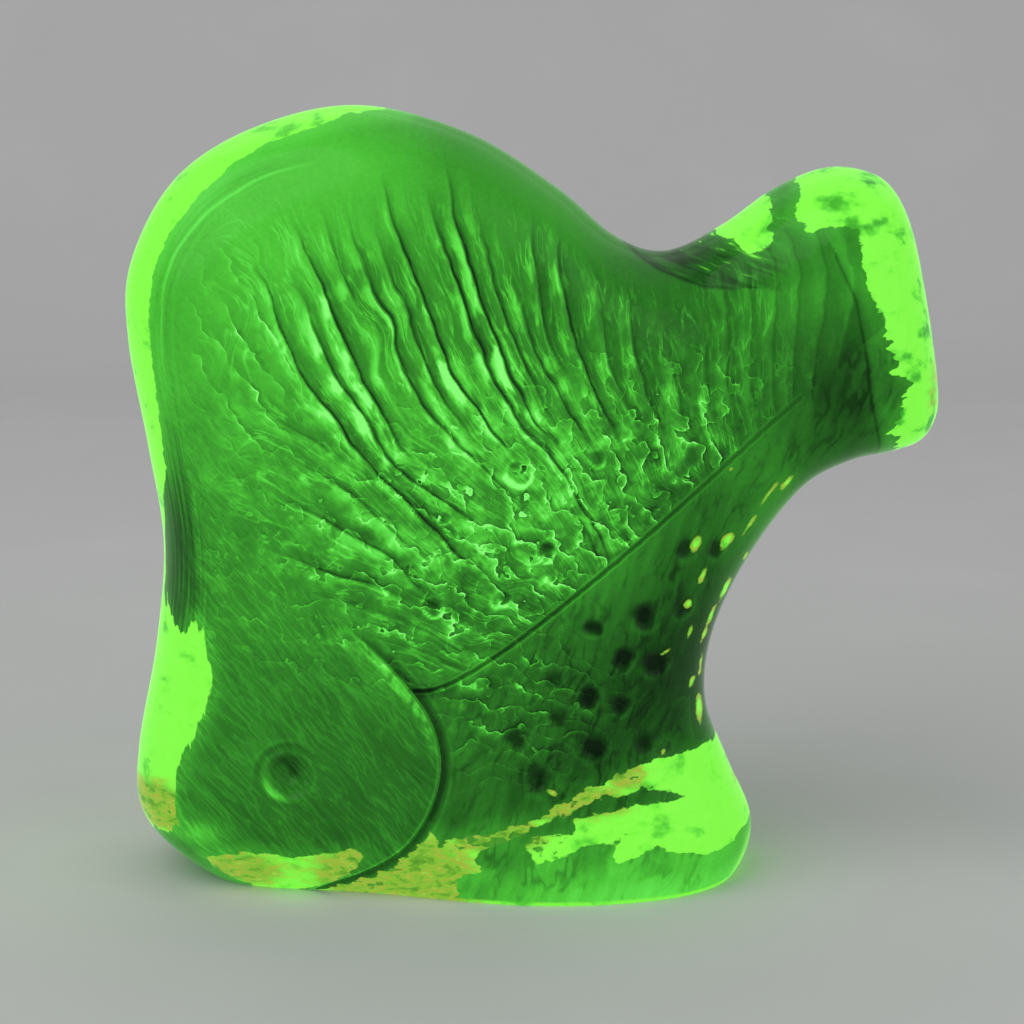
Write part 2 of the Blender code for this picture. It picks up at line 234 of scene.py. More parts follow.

# Bright spots of painted lime light, most of them at the belly's back edge: x, z, length, width, lean
# from upright in degrees
BRIGHT_SPOTS_MM = [
    (25.2, 57.8, 2.6, 1.5, 25), (30.2, 57.6, 3.2, 1.7, 35), (26.4, 52.3, 2.4, 1.0, 25),
    (24.2, 47.9, 1.6, 1.2, 20), (20.5, 40.3, 1.5, 0.6, 60), (25.3, 33.9, 1.8, 1.0, 20),
    (39.8, 66.4, 2.8, 1.0, 40), (36.8, 64.6, 4.6, 0.6, 36), (34.0, 59.8, 3.6, 0.6, 32),
    (33.9, 53.9, 1.6, 0.7, 25), (30.6, 48.8, 4.2, 1.3, 22), (28.3, 44.6, 3.2, 1.0, 22),
    (27.2, 41.6, 2.6, 0.9, 20), (24.6, 43.0, 2.0, 0.6, 15), (26.8, 28.7, 4.6, 1.3, -4),
    (26.9, 36.2, 3.6, 0.6, 5), (30.6, 69.3, 0.8, 0.5, 45), (9.8, 17.6, 1.5, 0.5, 60),
    (20.5, 23.6, 0.9, 0.6, 30), (2.8, 18.0, 1.8, 0.8, -60),
]
SPOT_RAGGED_MM = 0.3
SPOT_GOLD = 0.7

# Dimples of the belly and burst bubbles of the flank: x, z, radius, depth
DIMPLE_SQUEEZE = 0.9  # they are a little taller than wide
DIMPLES_MM = [
    (9.1, 45.1, 1.3, 0.5), (17.1, 46.9, 1.8, 0.5), (14.0, 39.8, 1.5, 0.5), (19.0, 38.7, 1.7, 0.5),
    (8.7, 33.6, 1.6, 0.5), (13.6, 32.1, 1.4, 0.4), (23.6, 57.2, 1.3, 0.3), (23.4, 47.4, 1.3, 0.3),
    (9.3, 25.2, 1.7, 0.4), (3.0, 36.7, 1.3, 0.2), (0.4, 20.2, 1.9, 0.4), (-2.9, 27.1, 1.7, 0.3),
    (28.6, 56.6, 1.2, 0.3), (17.5, 25.5, 1.3, 0.3), (3.6, 29.5, 1.0, 0.2),
]
BUBBLES_MM = [
    (-2.3, 69.6, 2.0, 0.45), (1.8, 57.1, 1.5, 0.4), (-16.0, 48.3, 1.7, 0.35), (-5.2, 49.5, 1.5, 0.3),
    (-14.0, 62.2, 1.0, 0.25), (9.6, 71.8, 1.6, 0.25), (14.0, 59.5, 1.2, 0.2), (-11.5, 59.8, 0.9, 0.25),
]

# Creases inside the tail and along the saddle
TAIL_CREASE_MM = np.array([
    (46.0, 102.4), (46.8, 100.6), (49.1, 95.8), (50.7, 88.5), (52.0, 80.0), (54.3, 72.0),
])
SADDLE_CREASE_MM = np.array([
    (14.5, 103.5), (16.5, 101.6), (19.4, 99.8), (22.7, 98.6), (26.0, 97.5), (31.0, 97.3),
])

# Glow of the glass, as painted light and shade: how bright each zone is, 0 to 1. Centre x, centre z,
# spreads in x and z, amount.
BASE_GLOW = 0.50
GLOW_ZONES_MM = [
    (-42.0, 104.0, 26.0, 26.0, 0.22),  # the hump's upper end
    (-12.0, 66.0, 30.0, 20.0, 0.12),  # middle of the flank
    (-36.0, 20.0, 20.0, 18.0, -0.08),  # cheek
    (-28.0, 8.0, 14.0, 10.0, -0.08),  # chin
    (16.0, 34.0, 18.0, 20.0, -0.22),  # belly
    (26.0, 46.0, 9.0, 24.0, -0.18),
    (48.0, 80.0, 9.0, 14.0, -0.27),  # inside of the tail
    (40.0, 95.0, 12.0, 7.0, 0.08),  # top of the tail
    (0.0, 76.0, 16.0, 14.0, 0.07),  # brightest ridges
    (4.0, 57.0, 14.0, 9.0, 0.06),  # brightest scales
    (-22.0, 24.0, 10.0, 14.0, -0.05),  # back of the cheek
    (22.0, 92.0, 16.0, 12.0, -0.10),  # below the saddle
    (24.0, 101.0, 12.0, 3.5, -0.08),  # saddle
    (-57.0, 55.0, 5.0, 16.0, -0.10),  # behind the forehead
    (2.0, 18.0, 17.0, 10.0, -0.14),  # hollow above the foot
    (18.0, 1.0, 26.0, 7.0, 0.36),  # front of the foot
    (-53.0, 10.4, 3.6, 2.6, 0.22),  # spot under the snout
    (-25.0, 96.0, 12.0, 9.0, -0.08),  # upper ridges
    (-17.0, 67.0, 9.0, 8.0, -0.06),  # lower ridges
    (-30.0, 117.0, 14.0, 5.0, 0.05),  # top of the hump
    (-51.0, 104.0, 8.0, 8.0, -0.03),  # front of the hump
]

# Colours of the painted light and shade, from the darkest glass to the brightest: glow, then red, green,
# blue as seen
PAINTED_GLOW_STOPS = [
    (0.00, (6, 28, 7)), (0.20, (20, 62, 17)), (0.40, (40, 110, 32)), (0.55, (56, 148, 42)),
    (0.70, (78, 196, 56)), (0.86, (100, 232, 80)), (1.00, (138, 254, 120)),
]
# Colours of the painted lime light, from its dullest to its brightest
PAINTED_LIME_STOPS = [
    (0.00, (56, 158, 42)), (0.25, (92, 212, 58)), (0.48, (122, 246, 68)), (0.60, (132, 252, 72)),
    (1.00, (144, 255, 84)),
]
# Colours where the painted lime light turns to mottled gold
GOLD_STOPS = [
    (0.00, (44, 104, 30)), (0.22, (76, 140, 40)), (0.42, (108, 172, 48)), (0.54, (136, 196, 58)),
    (0.64, (164, 180, 62)), (0.74, (146, 222, 72)), (1.00, (150, 250, 84)),
]
# How strongly the painted colour is emitted, as a painted glow
EMITTED = 0.80
REFLECTED = 0.30
GLASS_IOR = 1.52
GLASS_SPECULAR = 0.09
GLASS_ROUGHNESS = 0.13
FINE_RELIEF = (0.7, 0.001)  # strength, and the height in metres that counts as 1

# Studio and camera, in metres
STUDIO_MIDDLE = (0, 0, 0.06)
LAMPS = [  # name, place, width, watts
    ("key", (-0.60, -0.50, 0.80), 1.2, 6.0),
    ("fill", (0.80, -0.50, 0.50), 1.2, 2.5),
    ("back", (0.15, 0.70, 0.80), 1.6, 2.2),
]
BACKDROP_COLOUR = (0.80, 0.82, 0.84, 1)
BACKDROP_STRENGTH = 0.35
FLOOR_HALF_WIDTH = 1.2
FLOOR_FRONT = -1.2
FLOOR_BACK = 0.9
FLOOR_TOP = 1.1
FLOOR_CURVE = 0.35
FLOOR_CURVE_STEPS = 24
FLOOR_TONES = [(0.60, 0.60, 0.59, 1), (0.64, 0.64, 0.63, 1)]
FLOOR_ROUGHNESS = 0.75
LENS_MM = 85
SENSOR_MM = 36
CAMERA_AIM = (-0.0036, 0, 0.0593)
CAMERA_DISTANCE = 0.394
CAMERA_RAISED_DEGREES = 11


# ---- small tools


def linear(colour):
    """A colour as seen on a screen, 0 to 255, as the linear one that a shader takes (sRGB curve)."""
    parts = [c / 255 for c in colour]
    return tuple(c / 12.92 if c <= 0.04045 else ((c + 0.055) / 1.055) ** 2.4 for c in parts) + (1.0,)


def fade(value, start, end):
    """0 before start, 1 after end and smooth between, whichever of the two is larger."""
    share = np.clip((value - start) / (end - start), 0, 1)
    return share * share * (3 - 2 * share)


def bump(value, width):
    """1 where the value is 0, falling off smoothly over the width to both sides."""
    return np.exp(-((value / width) ** 2))


def hill(x, z, centre_x, centre_z, spread_x, spread_z):
    return np.exp(-(((x - centre_x) / spread_x) ** 2) - ((z - centre_z) / spread_z) ** 2)


def dice(seed):
    return np.random.default_rng(seed).random((NOISE_CELLS, NOISE_CELLS))


def noise(u, v, seed):
    """Smooth value noise from -1 to 1, with one bump to each unit of u and v."""
    table = dice(seed)
    iu, iv = np.floor(u).astype(int), np.floor(v).astype(int)
    fu, fv = u - iu, v - iv
    fu, fv = fu * fu * (3 - 2 * fu), fv * fv * (3 - 2 * fv)
    corner = [[table[(iu + a) % NOISE_CELLS, (iv + b) % NOISE_CELLS] for b in (0, 1)] for a in (0, 1)]
    low = corner[0][0] * (1 - fv) + corner[0][1] * fv
    high = corner[1][0] * (1 - fv) + corner[1][1] * fv
    return 2 * (low * (1 - fu) + high * fu) - 1


def rough_noise(u, v, seed, layers=3):
    total = 0
    for k in range(layers):
        total = total + noise(u * 2**k, v * 2**k, seed + k) / 2**k
    return total / (2 - 0.5 ** (layers - 1))


def smooth_line(points, steps, closed=False):
    """Points on the Catmull-Rom curve through the given ones."""
    count = len(points)
    spans = count if closed else count - 1
    line = []
    for i in range(spans):
        if closed:
            a, b, c, d = (points[(i + k) % count] for k in (-1, 0, 1, 2))
        else:
            b, c = points[i], points[i + 1]
            a = points[i - 1] if i > 0 else 2 * b - c
            d = points[i + 2] if i + 2 < count else 2 * c - b
        for t in np.linspace(0, 1, steps, endpoint=False):
            bend = (2 * a - 5 * b + 4 * c - d) * t**2 + (3 * b - a - 3 * c + d) * t**3
            line.append(0.5 * (2 * b + (c - a) * t + bend))
    if not closed:
        line.append(points[-1])
    return np.array(line)


def evenly_spaced(line, count):
    """The closed line as this many points, the same distance apart."""
    ring = np.vstack([line, line[:1]])
    travelled = np.concatenate([[0], np.cumsum(np.linalg.norm(np.diff(ring, axis=0), axis=1))])
    stops = np.linspace(0, travelled[-1], count, endpoint=False)
    return np.column_stack([np.interp(stops, travelled, ring[:, k]) for k in (0, 1)])


def line_distance(x, z, line):
    """Distance to a line in mm, positive on its left as it runs."""
    best = np.full(np.shape(x), FAR_MM)
    signed = best.copy()
    for (ax, az), (bx, bz) in zip(line[:-1], line[1:]):
        run_x, run_z = bx - ax, bz - az
        share = np.clip(((x - ax) * run_x + (z - az) * run_z) / (run_x**2 + run_z**2), 0, 1)
        away = np.hypot(x - ax - share * run_x, z - az - share * run_z)
        left = np.sign(run_x * (z - az) - run_z * (x - ax))
        nearer = away < best
        signed = np.where(nearer, left * away, signed)
        best = np.where(nearer, away, best)
    return signed


def inside_distance(x, z, outline):
    """Distance to a closed outline in mm, positive inside it."""
    inside = np.zeros(np.shape(x), dtype=bool)
    ring = np.vstack([outline, outline[:1]])
    for (ax, az), (bx, bz) in zip(ring[:-1], ring[1:]):
        if az != bz:
            crosses = (az > z) != (bz > z)
            inside ^= crosses & (x < (bx - ax) * (z - az) / (bz - az) + ax)
    return np.abs(line_distance(x, z, ring)) * np.where(inside, 1, -1)


# ---- the shape of the glass


def half_thickness(x, z):
    total = np.full(np.shape(x), HALF_THICKNESS_MM)
    for centre_x, centre_z, spread_x, spread_z, amount in SWELLS_MM:
        total = total + amount * hill(x, z, centre_x, centre_z, spread_x, spread_z)
    return total


OUTLINE_FINE = smooth_line(OUTLINE_MM, OUTLINE_STEPS, closed=True)


def rim_distance(x, z):
    """How far each place lies inside the outline in mm, as one smooth hill with no ridges."""
    starts = OUTLINE_FINE
    ends = np.roll(starts, -1, axis=0)
    along = (ends - starts) / np.linalg.norm(ends - starts, axis=1)[:, None]
    places = np.column_stack([x, z])
    found = np.empty(len(places))
    for i in range(0, len(places), CHUNK):
        part = places[i:i + CHUNK]
        start_x, start_z = (starts[:, k] - part[:, k:k + 1] for k in (0, 1))
        end_x, end_z = (ends[:, k] - part[:, k:k + 1] for k in (0, 1))
        start_run = start_x * along[:, 0] + start_z * along[:, 1]
        end_run = end_x * along[:, 0] + end_z * along[:, 1]
        start_reach = np.hypot(start_x, start_z) + 1e-9
        end_reach = np.hypot(end_x, end_z) + 1e-9
        aside = np.maximum(start_reach**2 - start_run**2, 1e-6)
        pull = ((end_run / end_reach - start_run / start_reach) / aside).sum(axis=1)
        found[i:i + CHUNK] = np.sqrt(2 / np.maximum(pull, 1e-9))
    return found


def skin_depths(x, z):
    inward = np.minimum(rim_distance(x, z) / RIM_WIDTH_MM, 1)
    return half_thickness(x, z) * np.sqrt(1 - (1 - inward) ** ROUNDNESS)


def skin_depth(x, z):
    return float(skin_depths(np.array([x]), np.array([z]))[0])


def skin_normal(x, z, side):
    step = 0.5
    slope_x = (skin_depth(x + step, z) - skin_depth(x - step, z)) / (2 * step)
    slope_z = (skin_depth(x, z + step) - skin_depth(x, z - step)) / (2 * step)
    return Vector((-slope_x, side, -slope_z)).normalized()


GILL = smooth_line(GILL_MM, SEAM_STEPS)
TAIL_JOIN = smooth_line(TAIL_JOIN_MM, SEAM_STEPS)
LATERAL = smooth_line(LATERAL_MM, SEAM_STEPS)
FOOT_JOIN = smooth_line(FOOT_JOIN_MM, SEAM_STEPS)


def link(data, name):
    """An object made of a mesh, lamp or camera, put into the scene."""
    made = bpy.data.objects.new(name, data)
    bpy.context.scene.collection.objects.link(made)
    return made


def reworked(mesh, *changes):
    """The mesh after the given changes, with its faces turned out."""
    bm = bmesh.new()
    bm.from_mesh(mesh)
    for change in changes:
        change(bm)
    bmesh.ops.recalc_face_normals(bm, faces=bm.faces)
    bm.to_mesh(mesh)
    bm.free()
    return mesh


def mesh_from(points_mm, faces, name):
    """A mesh from corners in mm."""
    mesh = bpy.data.meshes.new(name)
    mesh.from_pydata([tuple(p) for p in np.asarray(points_mm) * MM], [], faces)
    return reworked(mesh)


def welded(bm):
    bmesh.ops.remove_doubles(bm, verts=bm.verts, dist=WELD_M)


def cut_off_flat(bm):
    """Cuts off what lies below the ground, closes the cut and makes all faces triangles."""
    everything = bm.verts[:] + bm.edges[:] + bm.faces[:]
    cut = bmesh.ops.bisect_plane(
        bm, geom=everything, dist=WELD_M / 10, plane_co=(0, 0, 0), plane_no=(0, 0, 1), clear_inner=True
    )
    edges = [item for item in cut["geom_cut"] if isinstance(item, bmesh.types.BMEdge)]
    bmesh.ops.contextual_create(bm, geom=edges)
    bmesh.ops.triangulate(bm, faces=bm.faces)


def glass_mass():
    """The whole figure: rings that shrink from the outline to the core on both sides, cut off flat."""
    outline = evenly_spaced(OUTLINE_FINE, AROUND)
    points = [np.column_stack([outline[:, 0], np.zeros(AROUND), outline[:, 1]])]
    faces = []
    for side in (-1, 1):
        outer = 0
        for i in range(1, RINGS):
            share = math.cos(i / RINGS * math.pi / 2) ** (2 / ROUNDNESS)
            x, z = (CORE_MM + share * (outline - CORE_MM)).T
            inner = AROUND * len(points)
            points.append(np.column_stack([x, side * skin_depths(x, z), z]))
            for k in range(AROUND):
                after = (k + 1) % AROUND
                faces.append((outer + k, outer + after, inner + after, inner + k))
            outer = inner
        faces.append(tuple(range(outer, outer + AROUND)))
    mesh = mesh_from(np.vstack(points), faces, "glass_mass")
    return link(reworked(mesh, cut_off_flat), "glass_mass")


def seam_blade(line, gaps_mm):
    """A blade as thick as the gaps that stands along the line and goes right through the figure."""
    ahead = np.gradient(line, axis=0)
    ahead /= np.linalg.norm(ahead, axis=1)[:, None]
    gaps = np.interp(np.linspace(0, 1, len(line)), np.linspace(0, 1, len(gaps_mm)), gaps_mm)
    across = np.column_stack([-ahead[:, 1], ahead[:, 0]]) * gaps[:, None] / 2
    border = np.vstack([line + across, (line - across)[::-1]])
    count = len(border)
    reach = 2 * HALF_THICKNESS_MM
    points = [(x, y, z) for y in (-reach, reach) for x, z in border]
    faces = [tuple(range(count)), tuple(range(count, 2 * count))]
    faces += [(k, (k + 1) % count, count + (k + 1) % count, count + k) for k in range(count)]
    return link(mesh_from(points, faces, "seam_blade"), "seam_blade")


def applied(made):
    """The object with its modifiers made part of its mesh."""
    result = bpy.data.meshes.new_from_object(made.evaluated_get(bpy.context.evaluated_depsgraph_get()))
    made.modifiers.clear()
    made.data = result
    return made


def carve(target, tool):
    cut = target.modifiers.new("cut", "BOOLEAN")
    cut.operation = "DIFFERENCE"
    cut.solver = "MANIFOLD"
    cut.object = tool
    applied(target)
    bpy.data.objects.remove(tool, do_unlink=True)


def coordinates(mesh, word="co"):
    """The corners of a mesh, or their normals if the word says so, one row each."""
    flat = np.empty(3 * len(mesh.vertices))
    mesh.vertices.foreach_get(word, flat)
    return flat.reshape(-1, 3)


def loose_parts(whole):
    for item in list(bpy.context.selected_objects):
        item.select_set(False)
    whole.select_set(True)
    bpy.context.view_layer.objects.active = whole
    bpy.ops.mesh.separate(type="LOOSE")
    return list(bpy.context.selected_objects)


def divided(whole):
    """The glass mass cut along its joins, as named pieces."""
    joins = [(GILL, GILL_GAPS_MM), (TAIL_JOIN, [HAIRLINE_MM])]
    joins += [(LATERAL, LATERAL_GAPS_MM), (FOOT_JOIN, [HAIRLINE_MM])]
    for line, gaps_mm in joins:
        carve(whole, seam_blade(line, gaps_mm))
    found = {}
    for part in loose_parts(whole):
        corners = coordinates(part.data) / MM
        middle = ((corners.min(axis=0) + corners.max(axis=0)) / 2)[[0, 2]]
        name = min(PIECES_MM, key=lambda n: np.linalg.norm(middle - PIECES_MM[n]))
        if name not in found or len(part.data.vertices) > len(found[name].data.vertices):
            found[name] = part
    for name, part in found.items():
        part.name = f"glass_{name}"
    return found


def remeshed(made, voxel_mm):
    """Even small faces all over, with the slight softness that fire polishing leaves."""
    remesh = made.modifiers.new("remesh", "REMESH")
    remesh.mode = "VOXEL"
    remesh.voxel_size = voxel_mm * MM
    smooth = made.modifiers.new("smooth", "SMOOTH")
    smooth.factor, smooth.iterations = SOFTENING
    return applied(made)


# ---- relief and glow


def fan_place(x, z):
    """Distance and angle in degrees from the fan's focus. The angle grows from the head to the tail."""
    dx, dz = x - FAN_FOCUS_MM[0], z - FAN_FOCUS_MM[1]
    return np.hypot(dx, dz), -np.degrees(np.arctan2(dz, dx))


def ridge_table():
    """Angle and depth of every groove at every distance from the fan's focus.

    Where a groove has ended, it goes on without depth and shares the room between its neighbours.
    """
    runs = np.arange(0.0, FAN_REACH_MM)
    traced, depths, weights = [], [], []
    for depth, points in GROOVES_MM:
        line_run, line_turn = fan_place(*smooth_line(np.array(points), 6).T)
        order = np.argsort(line_run)
        traced.append(np.interp(runs, line_run[order], line_turn[order]))
        outer, inner = line_run.max(), line_run.min()
        past, short = runs - outer, runs - inner
        depths.append(depth * fade(past, *OUTER_FADE_MM) * fade(short, *INNER_FADE_MM))
        weights.append(fade(past, GROOVE_HOLD_MM, 0) * fade(short, -GROOVE_HOLD_MM, 0) + SLIGHT)
    traced, depths, weights = np.array(traced), np.array(depths), np.array(weights)
    count = len(traced)
    bend = np.diff(np.eye(count), n=2, axis=0)
    stiffness = EVENNESS * bend.T @ bend
    turns = np.array([
        np.linalg.solve(np.diag(weight) + stiffness, weight * own)
        for weight, own in zip(weights.T, traced.T)
    ]).T
    for k in range(1, count):
        turns[k] = np.maximum(turns[k], turns[k - 1] + NEAREST_RIDGES)
    faint = np.tile(FAINT_RIDGE * fade(runs, *FAINT_FADE_MM), (MORE_RIDGES, 1))
    steps = RIDGE_PITCH * np.arange(1, MORE_RIDGES + 1)[:, None]
    turns = np.vstack([turns[:1] - steps[::-1], turns, turns[-1:] + steps])
    return runs, turns, np.vstack([faint, depths, faint])


def ridge_field(x, z):
    """Where each point lies among the grooves.

    Returns the count of grooves to its left with its share of the way to the next, the distance
    between the two grooves in mm, how deep they are there, and its distance and angle from the
    fan's focus.
    """
    run, turn = fan_place(x, z)
    runs, table_turns, table_depths = ridge_table()
    turns = np.array([np.interp(run, runs, row) for row in table_turns])
    depths = np.array([np.interp(run, runs, row) for row in table_depths])
    below = np.clip((turn >= turns).sum(axis=0) - 1, 0, len(turns) - 2)
    left = np.take_along_axis(turns, below[None], axis=0)[0]
    span = np.take_along_axis(turns, below[None] + 1, axis=0)[0] - left
    share = np.clip((turn - left) / span, 0, 1)
    left_depth = np.take_along_axis(depths, below[None], axis=0)[0]
    right_depth = np.take_along_axis(depths, below[None] + 1, axis=0)[0]
    deep = left_depth * (1 - share) + right_depth * share
    return below + share, run * np.radians(span), deep, run, turn


class Skin:
    """What the relief and the glow need to know about every point of a piece."""

    def __init__(self, points_mm):
        self.x, self.y, self.z = points_mm.T
        self.side = np.where(self.y < 0, 0.0, OTHER_SIDE)
        # moved about a little, so that what is drawn at these places comes out uneven
        self.odd_x = self.x + 0.45 * noise(self.x / 1.7, self.z / 1.7 + self.side, 6)
        self.odd_z = self.z + 0.45 * noise(self.x / 1.7 + self.side, self.z / 1.7, 7)
        self.rim = rim_distance(self.x, self.z)
        self.inner = fade(self.rim, 2.0, 9.0)  # 0 on the rim, where the sides meet
        self.lateral = line_distance(self.x, self.z, LATERAL)
        self.gill = line_distance(self.x, self.z, GILL)
        self.crease = line_distance(self.x, self.z, TAIL_CREASE_MM)
        # moved in longer waves, which bend the ridges
        wave_x = self.x + 0.5 * noise(self.x / 6 + self.side, self.z / 6, 1)
        wave_z = self.z + 0.5 * noise(self.x / 6, self.z / 6 + self.side, 2)
        wave_x += 0.16 * noise(self.x / 1.7 + self.side, self.z / 1.7, 3)
        self.phase, self.gap, self.groove, self.run, self.turn = ridge_field(wave_x, wave_z)
        above = fade(self.lateral, 0.2, 1.2)
        ahead = fade(self.gill, -0.3, -3.0)
        self.flank = above * self.inner * fade(self.gill, 3.0, -6.0)
        self.plates = np.clip(
            above * (hill(self.x, self.z, -4, 56, 32, 20) + 0.7 * hill(self.x, self.z, 22, 70, 18, 16))
            + (1 - above) * 0.75 * hill(self.x, self.z, -4, 33, 13, 10) * ahead,
            0, 1,
        ) * self.inner


def ridge_relief(skin):
    """Long ridges, each with a crest on its right that drops into the groove."""
    share = skin.phase - np.floor(skin.phase)
    tall = np.minimum(RIDGE_HEIGHT_MM, 0.2 * skin.gap) * skin.groove * skin.flank
    rise = share**1.3 * fade(share, 1.0, 0.84)
    notch = bump((1 - share) * skin.gap, 0.4) + bump(share * skin.gap, 0.4)
    return tall * (rise - 0.35 - 0.25 * notch)


def plate_relief(skin):
    """Small fused scales in the middle of the flank."""
    swell = noise(skin.phase * 1.4 + skin.side, skin.run / 4.2, 31)
    fine = noise(skin.phase * 2.9, skin.run / 2.1 + skin.side, 32)
    return skin.plates * (0.16 * swell + 0.09 * fine)


def drawn_place(x, z):
    """Across and along the drawn lines, which fall towards the tail."""
    return x * 0.78 + z * 0.62, x * 0.62 - z * 0.78


def drawn_relief(skin):
    """Fine drawn lines over the head, and soft folds down the belly."""
    head = skin.inner * fade(skin.gill, -0.2, 0.6)
    across, along = drawn_place(skin.x, skin.z)
    lines = noise(across / 1.3, along / 9 + skin.side, 41)
    belly = skin.inner * fade(skin.lateral, 0.0, -1.5) * fade(skin.gill, -0.5, -2.0)
    folds = noise((skin.x - 0.3 * skin.z) / 2.0 + skin.side, skin.z / 9, 42)
    return 0.07 * head * lines + 0.12 * belly * folds


def pits(skin, rows, squeeze=1.0):
    """For each dimple or bubble: the distance from it in radii, the offset from it in mm, its size."""
    for centre_x, centre_z, radius, depth in rows:
        away = np.hypot(skin.odd_x - centre_x, (skin.odd_z - centre_z) * squeeze) / radius
        yield away, skin.x - centre_x, skin.z - centre_z, radius, depth


def pit_relief(skin):
    total = np.zeros(len(skin.x))
    for away, *_, depth in pits(skin, DIMPLES_MM, DIMPLE_SQUEEZE):
        total += 0.3 * depth * bump(away - 1.25, 0.3) - depth * np.exp(-(away**3))
    for away, *_, depth in pits(skin, BUBBLES_MM):
        total += 0.5 * depth * bump(away - 1.0, 0.2) - depth * np.exp(-(away**3))
    return total


def join_relief(skin):
    """The lateral groove with its lip, the gill cover standing over the flank, and the eye's mound."""
    along = fade(skin.x, 46.0, 30.0) * fade(skin.gill, 0.2, -0.2)
    total = along * (-0.22 * bump(skin.lateral, 0.45) + 0.08 * bump(skin.lateral - 0.9, 0.5))
    cheek = fade(skin.z, 46.0, 38.0) * fade(skin.z, 0.5, 4.0)
    total -= 0.42 * cheek * np.exp(-np.maximum(-skin.gill, 0) / 1.4) * (skin.gill < 0.1)
    total += 0.12 * cheek * bump(skin.gill - 0.9, 0.7)
    away = np.hypot(skin.x - EYE_MM[0], skin.z - EYE_MM[1])
    return total + 0.18 * bump(away - 5.4, 1.3)


def tail_relief(skin):
    soft = rough_noise(skin.x / 6 + skin.side, skin.z / 9, 91)
    on_tail = fade(skin.x, 34.0, 44.0) * skin.inner
    return on_tail * (0.10 * soft - 0.28 * bump(skin.crease, 0.9))


def foot_relief(skin):
    """The ragged top of the foot, and soft upright swellings on its front edge."""
    sheet = rough_noise(skin.x / 5.0 + skin.side, skin.z / 2.4, 71, 4)
    foot = line_distance(skin.x, skin.z, FOOT_JOIN)
    below = fade(foot, 1.0, -1.5) * fade(skin.gill, 0.0, -2.0)
    swell = noise(skin.x / 2.4 + skin.side, skin.z / 30, 72)
    return below * (0.22 * sheet * fade(skin.z, 4.0, 8.0) + 0.08 * swell)


def eye_glow(x, z):
    """The eye glows like a bowl lit from below, in painted light and shade: a crescent low on its left,
    and dark at its top.
    """
    off_x, off_z = x - EYE_MM[0], z - EYE_MM[1]
    away = np.hypot(off_x, off_z)
    unit = np.maximum(away, 0.1)
    low_left = np.clip(-(0.80 * off_x + 0.60 * off_z) / unit, 0, 1)
    top = np.clip((0.94 * off_z - 0.34 * off_x) / unit, 0, 1)
    right = np.clip(off_x / unit, 0, 1)
    glow = 0.30 * bump(away - 3.7, 0.6) * low_left**3 + 0.07 * bump(away - 4.1, 0.3) * (low_left + right)
    glow -= 0.17 * bump(away - 2.9, 1.2) * top + 0.09 * bump(away - 5.3, 0.5) * top
    glow += 0.07 * bump(away - 6.0, 0.3) * top
    return glow - 0.20 * np.exp(-(((off_x - 0.3) / 1.5) ** 2) - ((off_z - 0.6) / 1.5) ** 2)


def pit_glow(skin):
    """Painted shade: dimples are dark in the middle. Painted light: bubbles also have a bright ring,
    brightest at its bottom.
    """
    glow = np.zeros(len(skin.x))
    for away, off_x, off_z, _, depth in pits(skin, DIMPLES_MM, DIMPLE_SQUEEZE):
        ring = bump(away - 1.35, 0.28) * fade(off_z - 0.5 * off_x, 1.5, -1.5)
        glow += depth * (0.22 * ring - 0.75 * np.exp(-(away**2.6)))
    for away, _, off_z, radius, depth in pits(skin, BUBBLES_MM):
        ring = bump(away - 1.0, 0.15) * (0.2 + fade(off_z, 0.3 * radius, -0.8 * radius))
        shade = 0.3 + 0.7 * fade(off_z, -0.4 * radius, 0.6 * radius)
        # painted shade in each bubble's hollow, darker towards its top
        hollow_shade = np.exp(-((away / 0.8) ** 4)) * shade
        glow += depth * (1.2 * ring - 0.7 * hollow_shade)
    return glow


def base_glow(skin):
    # painted light and shade: the glow of each zone, of the eye and of the pits
    glow = BASE_GLOW + 0.04 * rough_noise(skin.x / 12 + skin.side, skin.z / 12, 5)
    for zone in GLOW_ZONES_MM:
        glow += zone[4] * hill(skin.x, skin.z, *zone[:4])
    return glow + eye_glow(skin.x, skin.z) + pit_glow(skin)


def foot_edge_light(skin):
    """Where painted lime light lies along the foot's lower edge: along the bottom of its sides, and at
    its far end.
    """
    depth_left = skin_depths(skin.x, skin.z) - np.abs(skin.y)
    bottom = fade(skin.z, 0.9, 0.5) * fade(depth_left, 2.6, 1.4) * fade(skin.x, -34, -20)
    far_end = fade(skin.x, 24, 33) * fade(skin.z, 9.5, 4.0) * fade(skin.rim, 2.6, 0.8)
    return np.maximum(bottom, far_end)


def bright_fields(skin):
    """Distance into the nearest patch of painted lime light in mm, its raggedness and its share of gold.
    """
    depth = np.full(len(skin.x), -9.0)
    ragged, gold = np.zeros(len(skin.x)), np.zeros(len(skin.x))
    for zone in GOLD_ZONES_MM:
        gold = np.maximum(gold, zone[4] * hill(skin.x, skin.z, *zone[:4]))
    for patch_ragged, outline in BRIGHT_PATCHES_MM.values():
        inside = inside_distance(skin.x, skin.z, np.array(outline))
        ragged = np.where(inside > depth, patch_ragged, ragged)
        depth = np.maximum(depth, inside)
    for centre_x, centre_z, length, width, lean in BRIGHT_SPOTS_MM:
        lean = math.radians(lean)
        off_x, off_z = skin.x - centre_x, skin.z - centre_z
        across = off_x * math.cos(lean) - off_z * math.sin(lean)
        along = off_x * math.sin(lean) + off_z * math.cos(lean)
        inside = (1 - np.hypot(2 * across / width, 2 * along / length)) * width / 2
        nearer = (inside > depth) & (inside > -1)
        ragged = np.where(nearer, SPOT_RAGGED_MM, ragged)
        gold = np.where(nearer, SPOT_GOLD - inside, gold)
        depth = np.maximum(depth, inside)
    return np.maximum(depth, -3), ragged, gold


